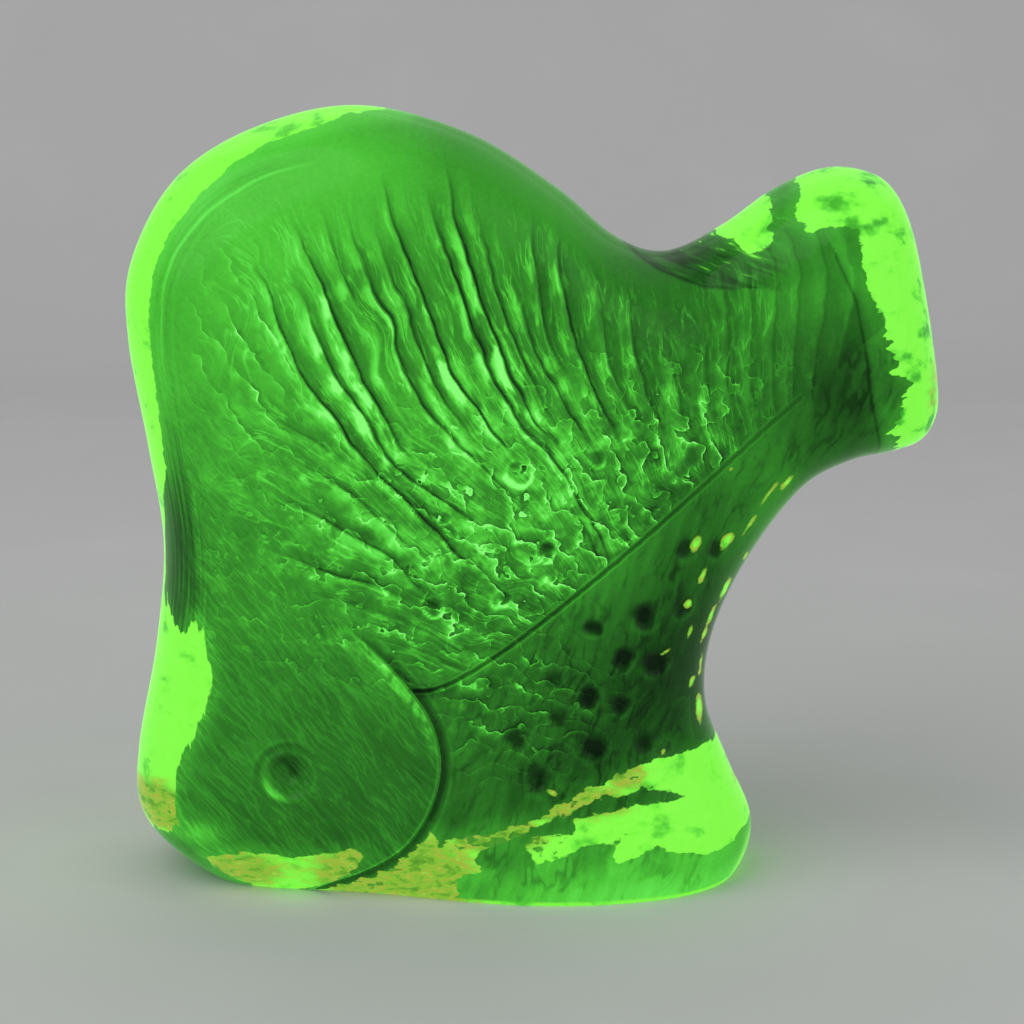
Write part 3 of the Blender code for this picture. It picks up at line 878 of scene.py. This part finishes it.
def raise_relief(whole):
    """Raises the relief over the whole glass mass."""
    mesh = whole.data
    points = coordinates(mesh) / MM
    skin = Skin(points)
    height = ridge_relief(skin) + plate_relief(skin) + drawn_relief(skin) + pit_relief(skin)
    height += join_relief(skin) + tail_relief(skin) + foot_relief(skin)
    height *= fade(skin.rim, 0.5, 3.0) * fade(skin.z, 0.3, 2.5)
    points += coordinates(mesh, "normal") * height[:, None]
    points[:, 2] = np.where(points[:, 2] < 0.12, 0, points[:, 2])
    mesh.vertices.foreach_set("co", (points * MM).ravel())
    mesh.update()


def store_glow(made):
    """Stores what the material needs to colour a piece."""
    mesh = made.data
    skin = Skin(coordinates(mesh) / MM)
    depth, ragged, gold = bright_fields(skin)
    fields = {
        "glow": base_glow(skin), "bright": depth, "ragged": ragged, "gold": gold,
        "groove": skin.groove * skin.flank, "foot_edge_light": foot_edge_light(skin),
        "saddle": line_distance(skin.x, skin.z, SADDLE_CREASE_MM),
    }
    for word in ("phase", "gap", "run", "turn", "flank", "plates", "rim", "lateral", "gill", "crease"):
        fields[word] = getattr(skin, word)
    for word, field in fields.items():
        layer = mesh.attributes.new(word, "FLOAT", "POINT")
        layer.data.foreach_set("value", np.asarray(field, dtype=np.float32))
    mesh.shade_smooth()
    mesh.set_sharp_from_angle(angle=math.radians(SHARP_DEGREES))


# ---- eyes


def turned(name, profile_mm):
    """A closed body of revolution about Z, from a profile that starts and ends on the axis or closes."""
    turns = np.linspace(0, 2 * np.pi, EYE_SEGMENTS, endpoint=False)
    points = np.vstack([
        np.column_stack([r * np.cos(turns), r * np.sin(turns), np.full(EYE_SEGMENTS, h)])
        for r, h in profile_mm
    ])
    faces = []
    count = len(profile_mm)
    closed = min(r for r, _ in profile_mm) > 0.5
    for i in range(count if closed else count - 1):
        low, high = i * EYE_SEGMENTS, ((i + 1) % count) * EYE_SEGMENTS
        for k in range(EYE_SEGMENTS):
            after = (k + 1) % EYE_SEGMENTS
            faces.append((low + k, low + after, high + after, high + k))
    return link(reworked(mesh_from(points, faces, name), welded), name)


def on_cheek(made, side):
    """Moves a turned body's mesh onto the cheek, with its Z axis straight out of the glass."""
    x, z = EYE_MM
    place = Vector((x, side * skin_depth(x, z), z)) * MM
    turn = skin_normal(x, z, side).to_track_quat("Z", "Y").to_matrix().to_4x4()
    turn.translation = place
    made.data.transform(turn)
    return made


def eye_profile():
    """A disc with a low soft rim, sloping into a shallow bowl with a bore for the pupil."""
    radii = np.linspace(EYE_RADIUS_MM, EYE_BORE_MM + 0.1, PROFILE_STEPS)
    ring = EYE_RIM_HEIGHT_MM * bump(radii - EYE_RIM_MM, 0.45)
    heights = ring - EYE_BOWL_MM * fade(radii, EYE_RIM_MM, EYE_BORE_MM) + EYE_PROUD_MM
    back = [(EYE_BORE_MM, -EYE_DEPTH_MM), (EYE_RADIUS_MM, -EYE_DEPTH_MM)]
    return back + list(zip(radii, heights)) + [(EYE_BORE_MM, -0.5)]


def pupil_profile():
    """A button whose face goes on down into a deep smooth dimple."""
    radius = EYE_BORE_MM - PUPIL_GAP_MM
    radii = np.linspace(radius, 0, PROFILE_STEPS)
    worn_edge = 0.10 * bump(radii - radius, 0.15)
    heights = PUPIL_FACE_MM - worn_edge - PUPIL_DIMPLE_MM * fade(radii, 2.0, 0.2)
    return [(0.0, -EYE_DEPTH_MM), (radius, -EYE_DEPTH_MM)] + list(zip(radii, heights))


def eye_seat(side):
    """What is cut out of the cheek to make room for an eye and its pupil."""
    radius = EYE_RADIUS_MM + EYE_GAP_MM
    bottom, top = -EYE_DEPTH_MM - 0.3, 4.0
    return on_cheek(turned("eye_seat", [(0, bottom), (radius, bottom), (radius, top), (0, top)]), side)


# ---- materials


def math_method(operation, swapped=False):
    """A method of Value that adds one math node."""
    def method(self, other=0):
        return self.nodes.math(operation, *((other, self) if swapped else (self, other)))
    return method


class Value:
    """A number that the shader works out at every point, with the usual arithmetic."""

    def __init__(self, nodes, socket):
        self.nodes = nodes
        self.socket = socket

    __add__ = __radd__ = math_method("ADD")
    __sub__ = math_method("SUBTRACT")
    __rsub__ = math_method("SUBTRACT", swapped=True)
    __mul__ = __rmul__ = math_method("MULTIPLY")
    __truediv__ = math_method("DIVIDE")
    most = math_method("MAXIMUM")
    size = math_method("ABSOLUTE")
    share = math_method("FRACT")
    whole = math_method("FLOOR")

    def bump(self, width):
        """1 where the value is 0, falling off smoothly over the width to both sides."""
        scaled = self / width
        return self.nodes.math("EXPONENT", scaled * scaled * -1.0, 0)

    def fade(self, start, end):
        """0 before start, 1 after end and smooth between, whichever of the two is larger."""
        node = self.nodes.add("ShaderNodeMapRange", interpolation_type="SMOOTHSTEP")
        self.nodes.feed(self, node.inputs[0])
        node.inputs[1].default_value = start
        node.inputs[2].default_value = end
        return Value(self.nodes, node.outputs[0])


class Nodes:
    """A material's node tree, with short calls to add and link nodes."""

    def __init__(self, name):
        self.material = bpy.data.materials.new(name)
        self.material.use_nodes = True
        self.tree = self.material.node_tree
        self.shader = self.tree.nodes["Principled BSDF"]

    def add(self, kind, **settings):
        node = self.tree.nodes.new(kind)
        for word, value in settings.items():
            setattr(node, word, value)
        return node

    def feed(self, source, target):
        """Links a value, or sets a plain number or colour, on a socket."""
        if isinstance(source, Value):
            source = source.socket
        if isinstance(source, bpy.types.NodeSocket):
            self.tree.links.new(source, target)
        else:
            target.default_value = source

    def stored(self, word):
        return Value(self, self.add("ShaderNodeAttribute", attribute_name=word).outputs["Fac"])

    def math(self, operation, first, second):
        node = self.add("ShaderNodeMath", operation=operation)
        self.feed(first, node.inputs[0])
        self.feed(second, node.inputs[1])
        return Value(self, node.outputs[0])

    def place(self):
        """The point in mm, as three values."""
        split = self.add("ShaderNodeSeparateXYZ")
        self.feed(self.add("ShaderNodeTexCoord").outputs["Object"], split.inputs[0])
        return [Value(self, socket) * 1000.0 for socket in split.outputs]

    def joined(self, u, v, w):
        node = self.add("ShaderNodeCombineXYZ")
        for source, target in zip((u, v, w), node.inputs):
            self.feed(source, target)
        return node.outputs[0]

    def noise(self, u, v, w, detail=2.0):
        """Noise from about -1 to 1, with one bump to each unit of u, v and w."""
        node = self.add("ShaderNodeTexNoise")
        node.inputs["Scale"].default_value = 1.0
        node.inputs["Detail"].default_value = detail
        self.feed(self.joined(u, v, w), node.inputs["Vector"])
        return (Value(self, node.outputs["Fac"]) - 0.5) * 2.6

    def ramp(self, level, colours):
        node = self.add("ShaderNodeValToRGB")
        stops = node.color_ramp.elements
        while len(stops) < len(colours):
            stops.new(0.5)
        for stop, (place, colour) in zip(stops, colours):
            stop.position = place
            stop.color = linear(colour)
        self.feed(level, node.inputs[0])
        return node.outputs[0]

    def mix(self, share, first, second, blend="MIX"):
        node = self.add("ShaderNodeMix", data_type="RGBA", blend_type=blend)
        self.feed(share, node.inputs[0])
        self.feed(first, node.inputs[6])
        self.feed(second, node.inputs[7])
        return node.outputs[2]


def ridge_light(nodes, x, y, z):
    """Painted light and shade of the ridges: bright crests, dark grooves in painted shadow, and the fine
    threads that run along them.
    """
    phase, run, gap, depth = (nodes.stored(w) for w in ("phase", "run", "gap", "groove"))
    flank = nodes.stored("flank")
    share = phase.share()
    after = share * gap  # mm past the groove on the left
    before = (1.0 - share) * gap  # mm short of the groove on the right
    reach = 0.8 + 0.35 * nodes.noise(phase.whole() * 1.7, run / 6, y / 8)
    # painted shadow down each groove, and a softer painted shade past it
    groove = (after / reach.most(0.3)).bump(0.5) + before.bump(0.14)
    shade = (after - 0.7).bump(1.6) * 0.17
    fibre = nodes.noise(phase * 4.3, run / 5, y / 9, 3.0)
    patch = (nodes.noise(phase * 1.1, run / 5.5, y / 9, 3.0) + fibre * 0.35).fade(-0.2, 0.35)
    belt = (z - 82.0).bump(17.0)
    crest = before.fade(0.14, 0.5) * before.fade(3.1, 0.9)
    glow = depth * (crest * (0.08 + patch * (0.22 + belt * 0.30)) - groove * 0.33 - shade)
    threads = nodes.noise(phase * 3.1, run / 9, y / 9, 3.0)
    thread = (threads.bump(0.09) - 0.12) * nodes.noise(phase * 2, run / 5, y / 5).fade(-0.5, 0.6)
    lively = flank * x.fade(44.0, 30.0) * x.fade(-56.0, -38.0) * z.fade(116.0, 98.0)
    glow = glow + lively * (thread * 0.22 + fibre * 0.05)
    height = depth * (groove * -0.08) + thread * lively * 0.03
    return glow, height


def fold(level, breaks):
    """A fold in the glass, in painted light and shade: brighter towards one side, ending there in a thin
    painted highlight, with painted shadow just past it.
    """
    share = level.share()
    halo = share * share * share
    edge = share.fade(0.90, 0.97) * breaks
    shadow = share.fade(0.30, 0.0) * breaks
    glow = halo * (0.12 + breaks * 0.30) - 0.06 + edge * 0.42 - shadow * 0.20
    return glow, halo * 0.10


def plate_light(nodes, x, y, z):
    """Painted light and shade of fused scales: wavy folds that follow the ridges, crossed by shorter
    ones.
    """
    turn, run, plates = (nodes.stored(w) for w in ("turn", "run", "plates"))
    sway = nodes.noise(x / 4.6, z / 4.6, y / 9, 2.0)
    curl = nodes.noise(x / 1.4, z / 1.4 + 9.0, y / 9, 2.0)
    lean = nodes.noise(x / 4.0 + 23.0, z / 4.0, y / 9, 2.0)
    along_breaks = nodes.noise(x / 2.4 + 5.0, z / 2.4, y / 7, 2.0).fade(-0.35, 0.45)
    across_breaks = nodes.noise(x / 2.0, z / 2.0 + 31.0, y / 7, 2.0).fade(-0.05, 0.6)
    along_glow, along_height = fold(turn / 4.0 + sway * 1.0 + curl * 0.22, along_breaks)
    across_glow, across_height = fold(run / -6.0 + lean * 1.5 + curl * 0.20 + turn / 14.0, across_breaks)
    patches = (sway * 0.6 + lean).fade(-0.5, 0.9) * 0.22 - 0.06
    glow = plates * (along_glow + across_glow * 0.6 + patches)
    return glow, plates * (along_height + across_height * 0.7)


def pleat_light(nodes, x, y, z):
    """Painted light and shade of fine pleats where the flank passes into the smooth hump, in front of the
    ridges.
    """
    turn, run, flank = (nodes.stored(w) for w in ("turn", "run", "flank"))
    zone = flank * (x + 43.5).bump(6.5) * (z - 87.0).bump(12.0)
    sway = nodes.noise(x / 5.0 + 3.0, z / 5.0, y / 9, 2.0) * 0.45
    curl = nodes.noise(x / 1.6 + 7.0, z / 1.6, y / 9, 2.0) * 0.10
    breaks = nodes.noise(x / 3.0 + 15.0, z / 3.0, y / 7, 2.0).fade(-0.4, 0.4)
    glow, height = fold((turn - run * 0.175) / 2.2 + sway + curl, breaks)
    return zone * glow * 0.72, zone * height


def drawn_light(nodes, x, y, z):
    """Painted light and shade of fine drawn lines: over the head and the front of the flank, and folds
    down the belly.
    """
    gill, lateral, rim = (nodes.stored(w) for w in ("gill", "lateral", "rim"))
    inner = rim.fade(3.0, 8.0)
    sway = nodes.noise(x / 12, z / 12, y / 9) * 1.2
    across, along = drawn_place(x, z)
    across = across + sway
    wide = nodes.noise(across / 1.5, along / 13, y / 9, 2.0)
    fine = nodes.noise(across / 0.55, along / 5, y / 9, 3.0)
    thread = nodes.noise(across / 1.0, along / 7, y / 9 + 5.0, 2.0).bump(0.12) - 0.15
    head = gill.fade(-1.0, 0.6)
    front = (x + 52.0).bump(22.0) * (z - 56.0).bump(26.0) * 0.8
    zone = inner * head.most(front)
    broad = nodes.noise(across / 4.0, along / 16, y / 9, 2.0)
    glow = zone * (broad * 0.045 + wide * 0.06 + fine * 0.04 + thread * 0.08)
    height = zone * (wide * 0.05 + fine * 0.03)
    belly = inner * lateral.fade(0.0, -1.5) * gill.fade(0.0, -1.5)
    fold = nodes.noise((x - z * 0.35) / 1.5 + sway, z / 10, y / 9, 3.0)
    line = nodes.noise((x - z * 0.25) / 2.4 + sway, z / 8, y / 9 + 3.0, 2.0).bump(0.12)
    glow = glow + belly * (fold * 0.08 - line * 0.13 * nodes.noise(x / 4, z / 4, y / 9).fade(-0.4, 0.5))
    return glow, height + belly * fold * 0.05


def join_light(nodes, x, y, z):
    """Painted shade in the joins and painted light on their lips: the lateral line and the edge of the
    gill cover.
    """
    gill, lateral = nodes.stored("gill"), nodes.stored("lateral")
    run = x.fade(47.0, 38.0) * gill.fade(0.3, -0.1)
    rough = nodes.noise(x / 1.3, z / 1.3, y / 9, 3.0) * 0.12
    line = lateral + rough
    strength = x.fade(44.0, 4.0) * 0.6 + 0.4
    dark = line.bump(0.30) * 0.24
    lips = (line - 0.56).bump(0.14) * 0.09 + (line + 0.54).bump(0.12) * 0.13
    glow = run * strength * (lips - dark)
    knot = ((x + 17.2) / 2.3).bump(1.0) * ((z - 34.6) / 1.0).bump(1.0)
    glow = glow - knot * 0.22 * gill.fade(0.2, -0.2)
    cheek = z.fade(47.0, 40.0)
    outside = gill.fade(0.12, -0.12)
    gap = outside * (gill + 0.5).bump(0.95)
    ring = outside * (gill + 1.9).bump(0.25)
    glow = glow + cheek * (ring * 0.06 - gap * 0.22)
    upper = z.fade(20.0, 32.0) * z.fade(44.0, 38.0)
    edge = gill.fade(0.05, 0.25) * gill.fade(0.7, 0.3)
    # painted highlights in leaf-like patches beside the gill cover's edge
    patches = nodes.noise(x / 1.6, z / 2.4, y / 9, 2.0).fade(-0.5, 0.4)
    leaf = gill.fade(0.1, 0.5) * gill.fade(2.4, 0.8) * patches
    return glow + cheek * (edge * 0.12 + upper * leaf * 0.26)


def rim_light(nodes, x, y, z):
    """Painted light that follows the rim, up the front of the fish: fine streaks and one bright thread,
    and painted shade at the waist.
    """
    rim = nodes.stored("rim")
    up_front = x.fade(-30.0, -46.0)
    streak = nodes.noise(rim / 0.45, z / 16 + x / 40, y / 12, 3.0)
    belt = rim.fade(1.0, 3.5) * rim.fade(11.0, 6.0)
    waist = (z - 57.0).bump(17.0) * rim.fade(9.5, 5.0)
    thread = (rim - 7.2 + 0.5 * nodes.noise(x / 9, z / 9, y / 9)).bump(0.22) * z.fade(78.0, 98.0)
    streaks = belt * streak * (0.08 + 0.16 * (z - 55.0).bump(22.0))
    return up_front * (streaks + thread * 0.13 - waist * 0.12)


def tail_light(nodes, x, y, z):
    """Soft clouds over the tail, and painted shade in the crease on its inside with painted light beside
    it.
    """
    crease = nodes.stored("crease")
    soft = nodes.noise(x / 5, z / 8, y / 9, 3.0)
    return x.fade(38.0, 46.0) * (soft * 0.06 - crease.bump(0.28) * 0.12 + (crease - 1.4).bump(1.4) * 0.08)


def saddle_light(nodes, x, y, z):
    """The painted shade of the saddle above its crease and in the crease, and how strongly bright wisps
    of painted lime light cover it.
    """
    saddle = nodes.stored("saddle")
    over = saddle.fade(0.0, 0.6) * x.fade(11.0, 16.0) * x.fade(40.0, 34.0) * z.fade(95.5, 97.5)
    wisp = nodes.noise((z + 0.32 * x) / 0.9, x / 9, y / 5, 3.0)
    crease = saddle.bump(0.3) * x.fade(11.0, 15.0) * x.fade(34.0, 29.0)
    bright_wisp = over * wisp.fade(0.30, 0.62) * x.fade(17.0, 27.0) * y.size().fade(0.5, 3.0)
    return over * (wisp * 0.20 - 0.10) - crease * 0.18, bright_wisp


def painted_lime_share(nodes, x, y, z, wisps, mottle):
    """How far painted lime light covers the green: ragged or fingered at its border, and with holes in
    it.
    """
    ragged, depth, gold = (nodes.stored(w) for w in ("ragged", "bright", "gold"))
    upright = x.fade(-48.0, -52.0) * z.fade(70.0, 60.0)
    level_fingers = nodes.noise(x / 2.2, z / 1.3, y / 5, 4.0)
    upright_fingers = nodes.noise(x / 0.9, z / 5.0, y / 5, 3.0)
    fingers = level_fingers * (1.0 - upright) + upright_fingers * upright
    combed = nodes.noise(x / 7.0 + z / 5.0, z / 1.5 - x / 3.0, y / 4, 1.0) * 1.5
    tail_comb = x.fade(50.0, 53.0) * z.fade(98.0, 93.0)
    lime_light = (depth + ragged * (fingers + combed * tail_comb)).fade(-0.10, 0.14)
    crumbled = (x + 1.0).bump(11.0) * (z - 10.0).bump(4.0)
    holes = (mottle + gold * 0.48 + crumbled * 0.55).fade(0.68, 0.84) * ragged.fade(0.5, 0.8)
    lime_light = lime_light.most(wisps) * (1.0 - holes * depth.fade(3.2, 1.6) * 0.9)
    return lime_light.most(nodes.stored("foot_edge_light") * 0.9)


def painted_lime_colour(nodes, x, y, z, mottle):
    """Colour of the painted lime light, clouded in places and most of all on the tail, or veined and
    mottled gold.
    """
    gold = nodes.stored("gold")
    shallow = nodes.noise(x / 1.3, z / 2.2, y / 5 + 7.0, 3.0)
    cloud = nodes.noise(x / 5.5, z / 4.0, y / 6 + 3.0, 3.0)
    on_tail = x.fade(40.0, 50.0)
    clouded = (cloud + on_tail * 0.14).fade(0.06, 0.60) * (0.45 + on_tail * 0.15)
    dull = clouded + mottle.fade(0.20, 0.7) * 0.18
    lime_light = nodes.ramp(0.66 - dull + shallow * 0.08, PAINTED_LIME_STOPS)
    veins = nodes.noise(x / 1.7 + mottle * 0.8, z / 0.9 + mottle * 0.5, y / 4, 4.0)
    strand = veins.size().fade(0.16, 0.03)
    golden = nodes.ramp(0.52 + mottle * 0.36 + veins * 0.18 + strand * 0.08, GOLD_STOPS)
    gilded = (gold + mottle * 0.22).fade(0.25, 0.60) * gold.fade(0.05, 0.3)
    return nodes.mix(gilded, lime_light, golden)


def uranium_glass(name):
    """Glass that glows green, and lime or gold in patches: light and shade painted into its colour, which
    is also emitted as a painted glow.
    """
    nodes = Nodes(name)
    x, y, z = nodes.place()
    level, height = nodes.stored("glow"), 0.0
    for light in (ridge_light, plate_light, pleat_light, drawn_light):
        own_glow, own_height = light(nodes, x, y, z)
        level, height = level + own_glow, height + own_height
    for light in (rim_light, tail_light, join_light):
        level = level + light(nodes, x, y, z)
    saddle, wisps = saddle_light(nodes, x, y, z)
    coarse_grain = nodes.noise(x / 0.9, z / 0.9, y / 3, 3.0) * 0.018
    fine_grain = nodes.noise(x / 0.5, z / 0.5, y / 0.5, 2.0) * 0.022
    # painted light that spills a little past the ragged lime patches
    border = (nodes.stored("bright") + 0.6).fade(-2.4, 0.6) * nodes.stored("ragged").fade(0.2, 0.5)
    level = level + saddle + coarse_grain + fine_grain + border * 0.10

    mottle = nodes.noise(x / 2.6, z / 1.5, y / 5, 4.0)
    lime_light = painted_lime_share(nodes, x, y, z, wisps, mottle)
    colour = nodes.mix(lime_light, nodes.ramp(level, PAINTED_GLOW_STOPS), painted_lime_colour(nodes, x, y, z, mottle))
    part_reflected = (REFLECTED, REFLECTED, REFLECTED, 1)

    sockets = nodes.shader.inputs
    # the colour with its painted light and shade goes to the base and, as a painted glow, to the emission
    nodes.feed(nodes.mix(1.0, colour, part_reflected, blend="MULTIPLY"), sockets["Base Color"])
    nodes.feed(colour, sockets["Emission Color"])
    nodes.feed(EMITTED, sockets["Emission Strength"])
    nodes.feed(GLASS_IOR, sockets["IOR"])
    nodes.feed(GLASS_SPECULAR, sockets["Specular IOR Level"])
    gloss = nodes.noise(x / 2.4, z / 2.4, y / 2.4, 2.0) * 0.02 + GLASS_ROUGHNESS
    nodes.feed(gloss, sockets["Roughness"])
    relief = nodes.add("ShaderNodeBump")
    for value, word in zip(FINE_RELIEF, ("Strength", "Distance")):
        nodes.feed(value, relief.inputs[word])
    nodes.feed(height, relief.inputs["Height"])
    nodes.feed(relief.outputs[0], sockets["Normal"])
    return nodes.material


def pale_floor():
    nodes = Nodes("pale_floor")
    x, y, z = nodes.place()
    tone = nodes.mix(nodes.noise(x / 70, y / 70, z / 70, 5.0), *FLOOR_TONES)
    nodes.feed(tone, nodes.shader.inputs["Base Color"])
    nodes.feed(FLOOR_ROUGHNESS, nodes.shader.inputs["Roughness"])
    return nodes.material


# ---- the figure


def glass_pieces():
    whole = remeshed(glass_mass(), VOXEL_MM)
    raise_relief(whole)
    parts = divided(whole)
    for side in (-1, 1):
        carve(parts["head"], eye_seat(side))
    for made in parts.values():
        store_glow(made)
    return parts


def keep_inside(parts):
    """Draws the glass in by a hair where the relief would leave the CAD model's box."""
    low, high = (np.array(corner) for corner in CAD_BOX)
    everything = np.vstack([coordinates(made.data) for made in parts])
    mine_low, mine_high = everything.min(axis=0), everything.max(axis=0)
    shrink = np.minimum((high - low) / (mine_high - mine_low), 1) * SNUG
    shift = (low + high) / 2 - (mine_low + mine_high) / 2 * shrink
    shift[2] = -mine_low[2] * shrink[2]
    for made in parts:
        points = coordinates(made.data) * shrink + shift
        made.data.vertices.foreach_set("co", points.ravel())
        made.data.update()


def build_figure():
    made = glass_pieces()
    for word, side in (("left", -1), ("right", 1)):
        for kind, profile in (("eye", eye_profile()), ("pupil", pupil_profile())):
            name = f"{kind}_{word}"
            made[name] = on_cheek(turned(f"glass_{name}", profile), side)
            store_glow(made[name])
    keep_inside(list(made.values()))
    glass = uranium_glass("uranium_glass")
    for name, piece in made.items():
        own = glass.copy()
        own.name = f"{name}_uranium_glass"
        piece.data.materials.clear()
        piece.data.materials.append(own)
        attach(piece, "root")
        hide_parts(name)


# ---- the studio


def floor():
    """A pale sweep: flat under the figure, and curving up far behind it."""
    flat_end = FLOOR_BACK - FLOOR_CURVE
    profile = [(FLOOR_FRONT, 0), (flat_end, 0)]
    for turn in np.linspace(0, math.pi / 2, FLOOR_CURVE_STEPS)[1:]:
        profile.append((flat_end + FLOOR_CURVE * math.sin(turn), FLOOR_CURVE * (1 - math.cos(turn))))
    profile.append((FLOOR_BACK, FLOOR_TOP))
    points = [(x, y, z) for y, z in profile for x in (-FLOOR_HALF_WIDTH, FLOOR_HALF_WIDTH)]
    faces = [(2 * i, 2 * i + 1, 2 * i + 3, 2 * i + 2) for i in range(len(profile) - 1)]
    made = link(mesh_from(np.array(points) / MM, faces, "studio_floor"), "studio_floor")
    made.data.shade_smooth()
    made.data.materials.append(pale_floor())


def pointed(data, name, place, target):
    """A lamp or camera as an object at a place, turned to its target."""
    made = link(data, name)
    made.location = place
    made.rotation_euler = (Vector(target) - Vector(place)).to_track_quat("-Z", "Y").to_euler()
    return made


def studio():
    """The floor, soft lamps all round and a plain backdrop."""
    floor()
    for name, place, width, watts in LAMPS:
        lamp = bpy.data.lights.new(name, "AREA")
        lamp.shape = "DISK"
        lamp.size = width
        lamp.energy = watts
        pointed(lamp, name, place, STUDIO_MIDDLE)
    world = bpy.data.worlds.new("studio")
    world.use_nodes = True
    backdrop = world.node_tree.nodes["Background"]
    backdrop.inputs["Color"].default_value = BACKDROP_COLOUR
    backdrop.inputs["Strength"].default_value = BACKDROP_STRENGTH
    bpy.context.scene.world = world
    bpy.context.scene.view_settings.view_transform = "Standard"


def camera():
    """On the fish's left, raised a little and looking down at its flank."""
    lens = bpy.data.cameras.new("camera")
    lens.lens = LENS_MM
    lens.sensor_width = SENSOR_MM
    raised = math.radians(CAMERA_RAISED_DEGREES)
    aim = Vector(CAMERA_AIM)
    place = aim + CAMERA_DISTANCE * Vector((0, -math.cos(raised), math.sin(raised)))
    bpy.context.scene.camera = pointed(lens, "camera", place, aim)


camera()
studio()
build_figure()
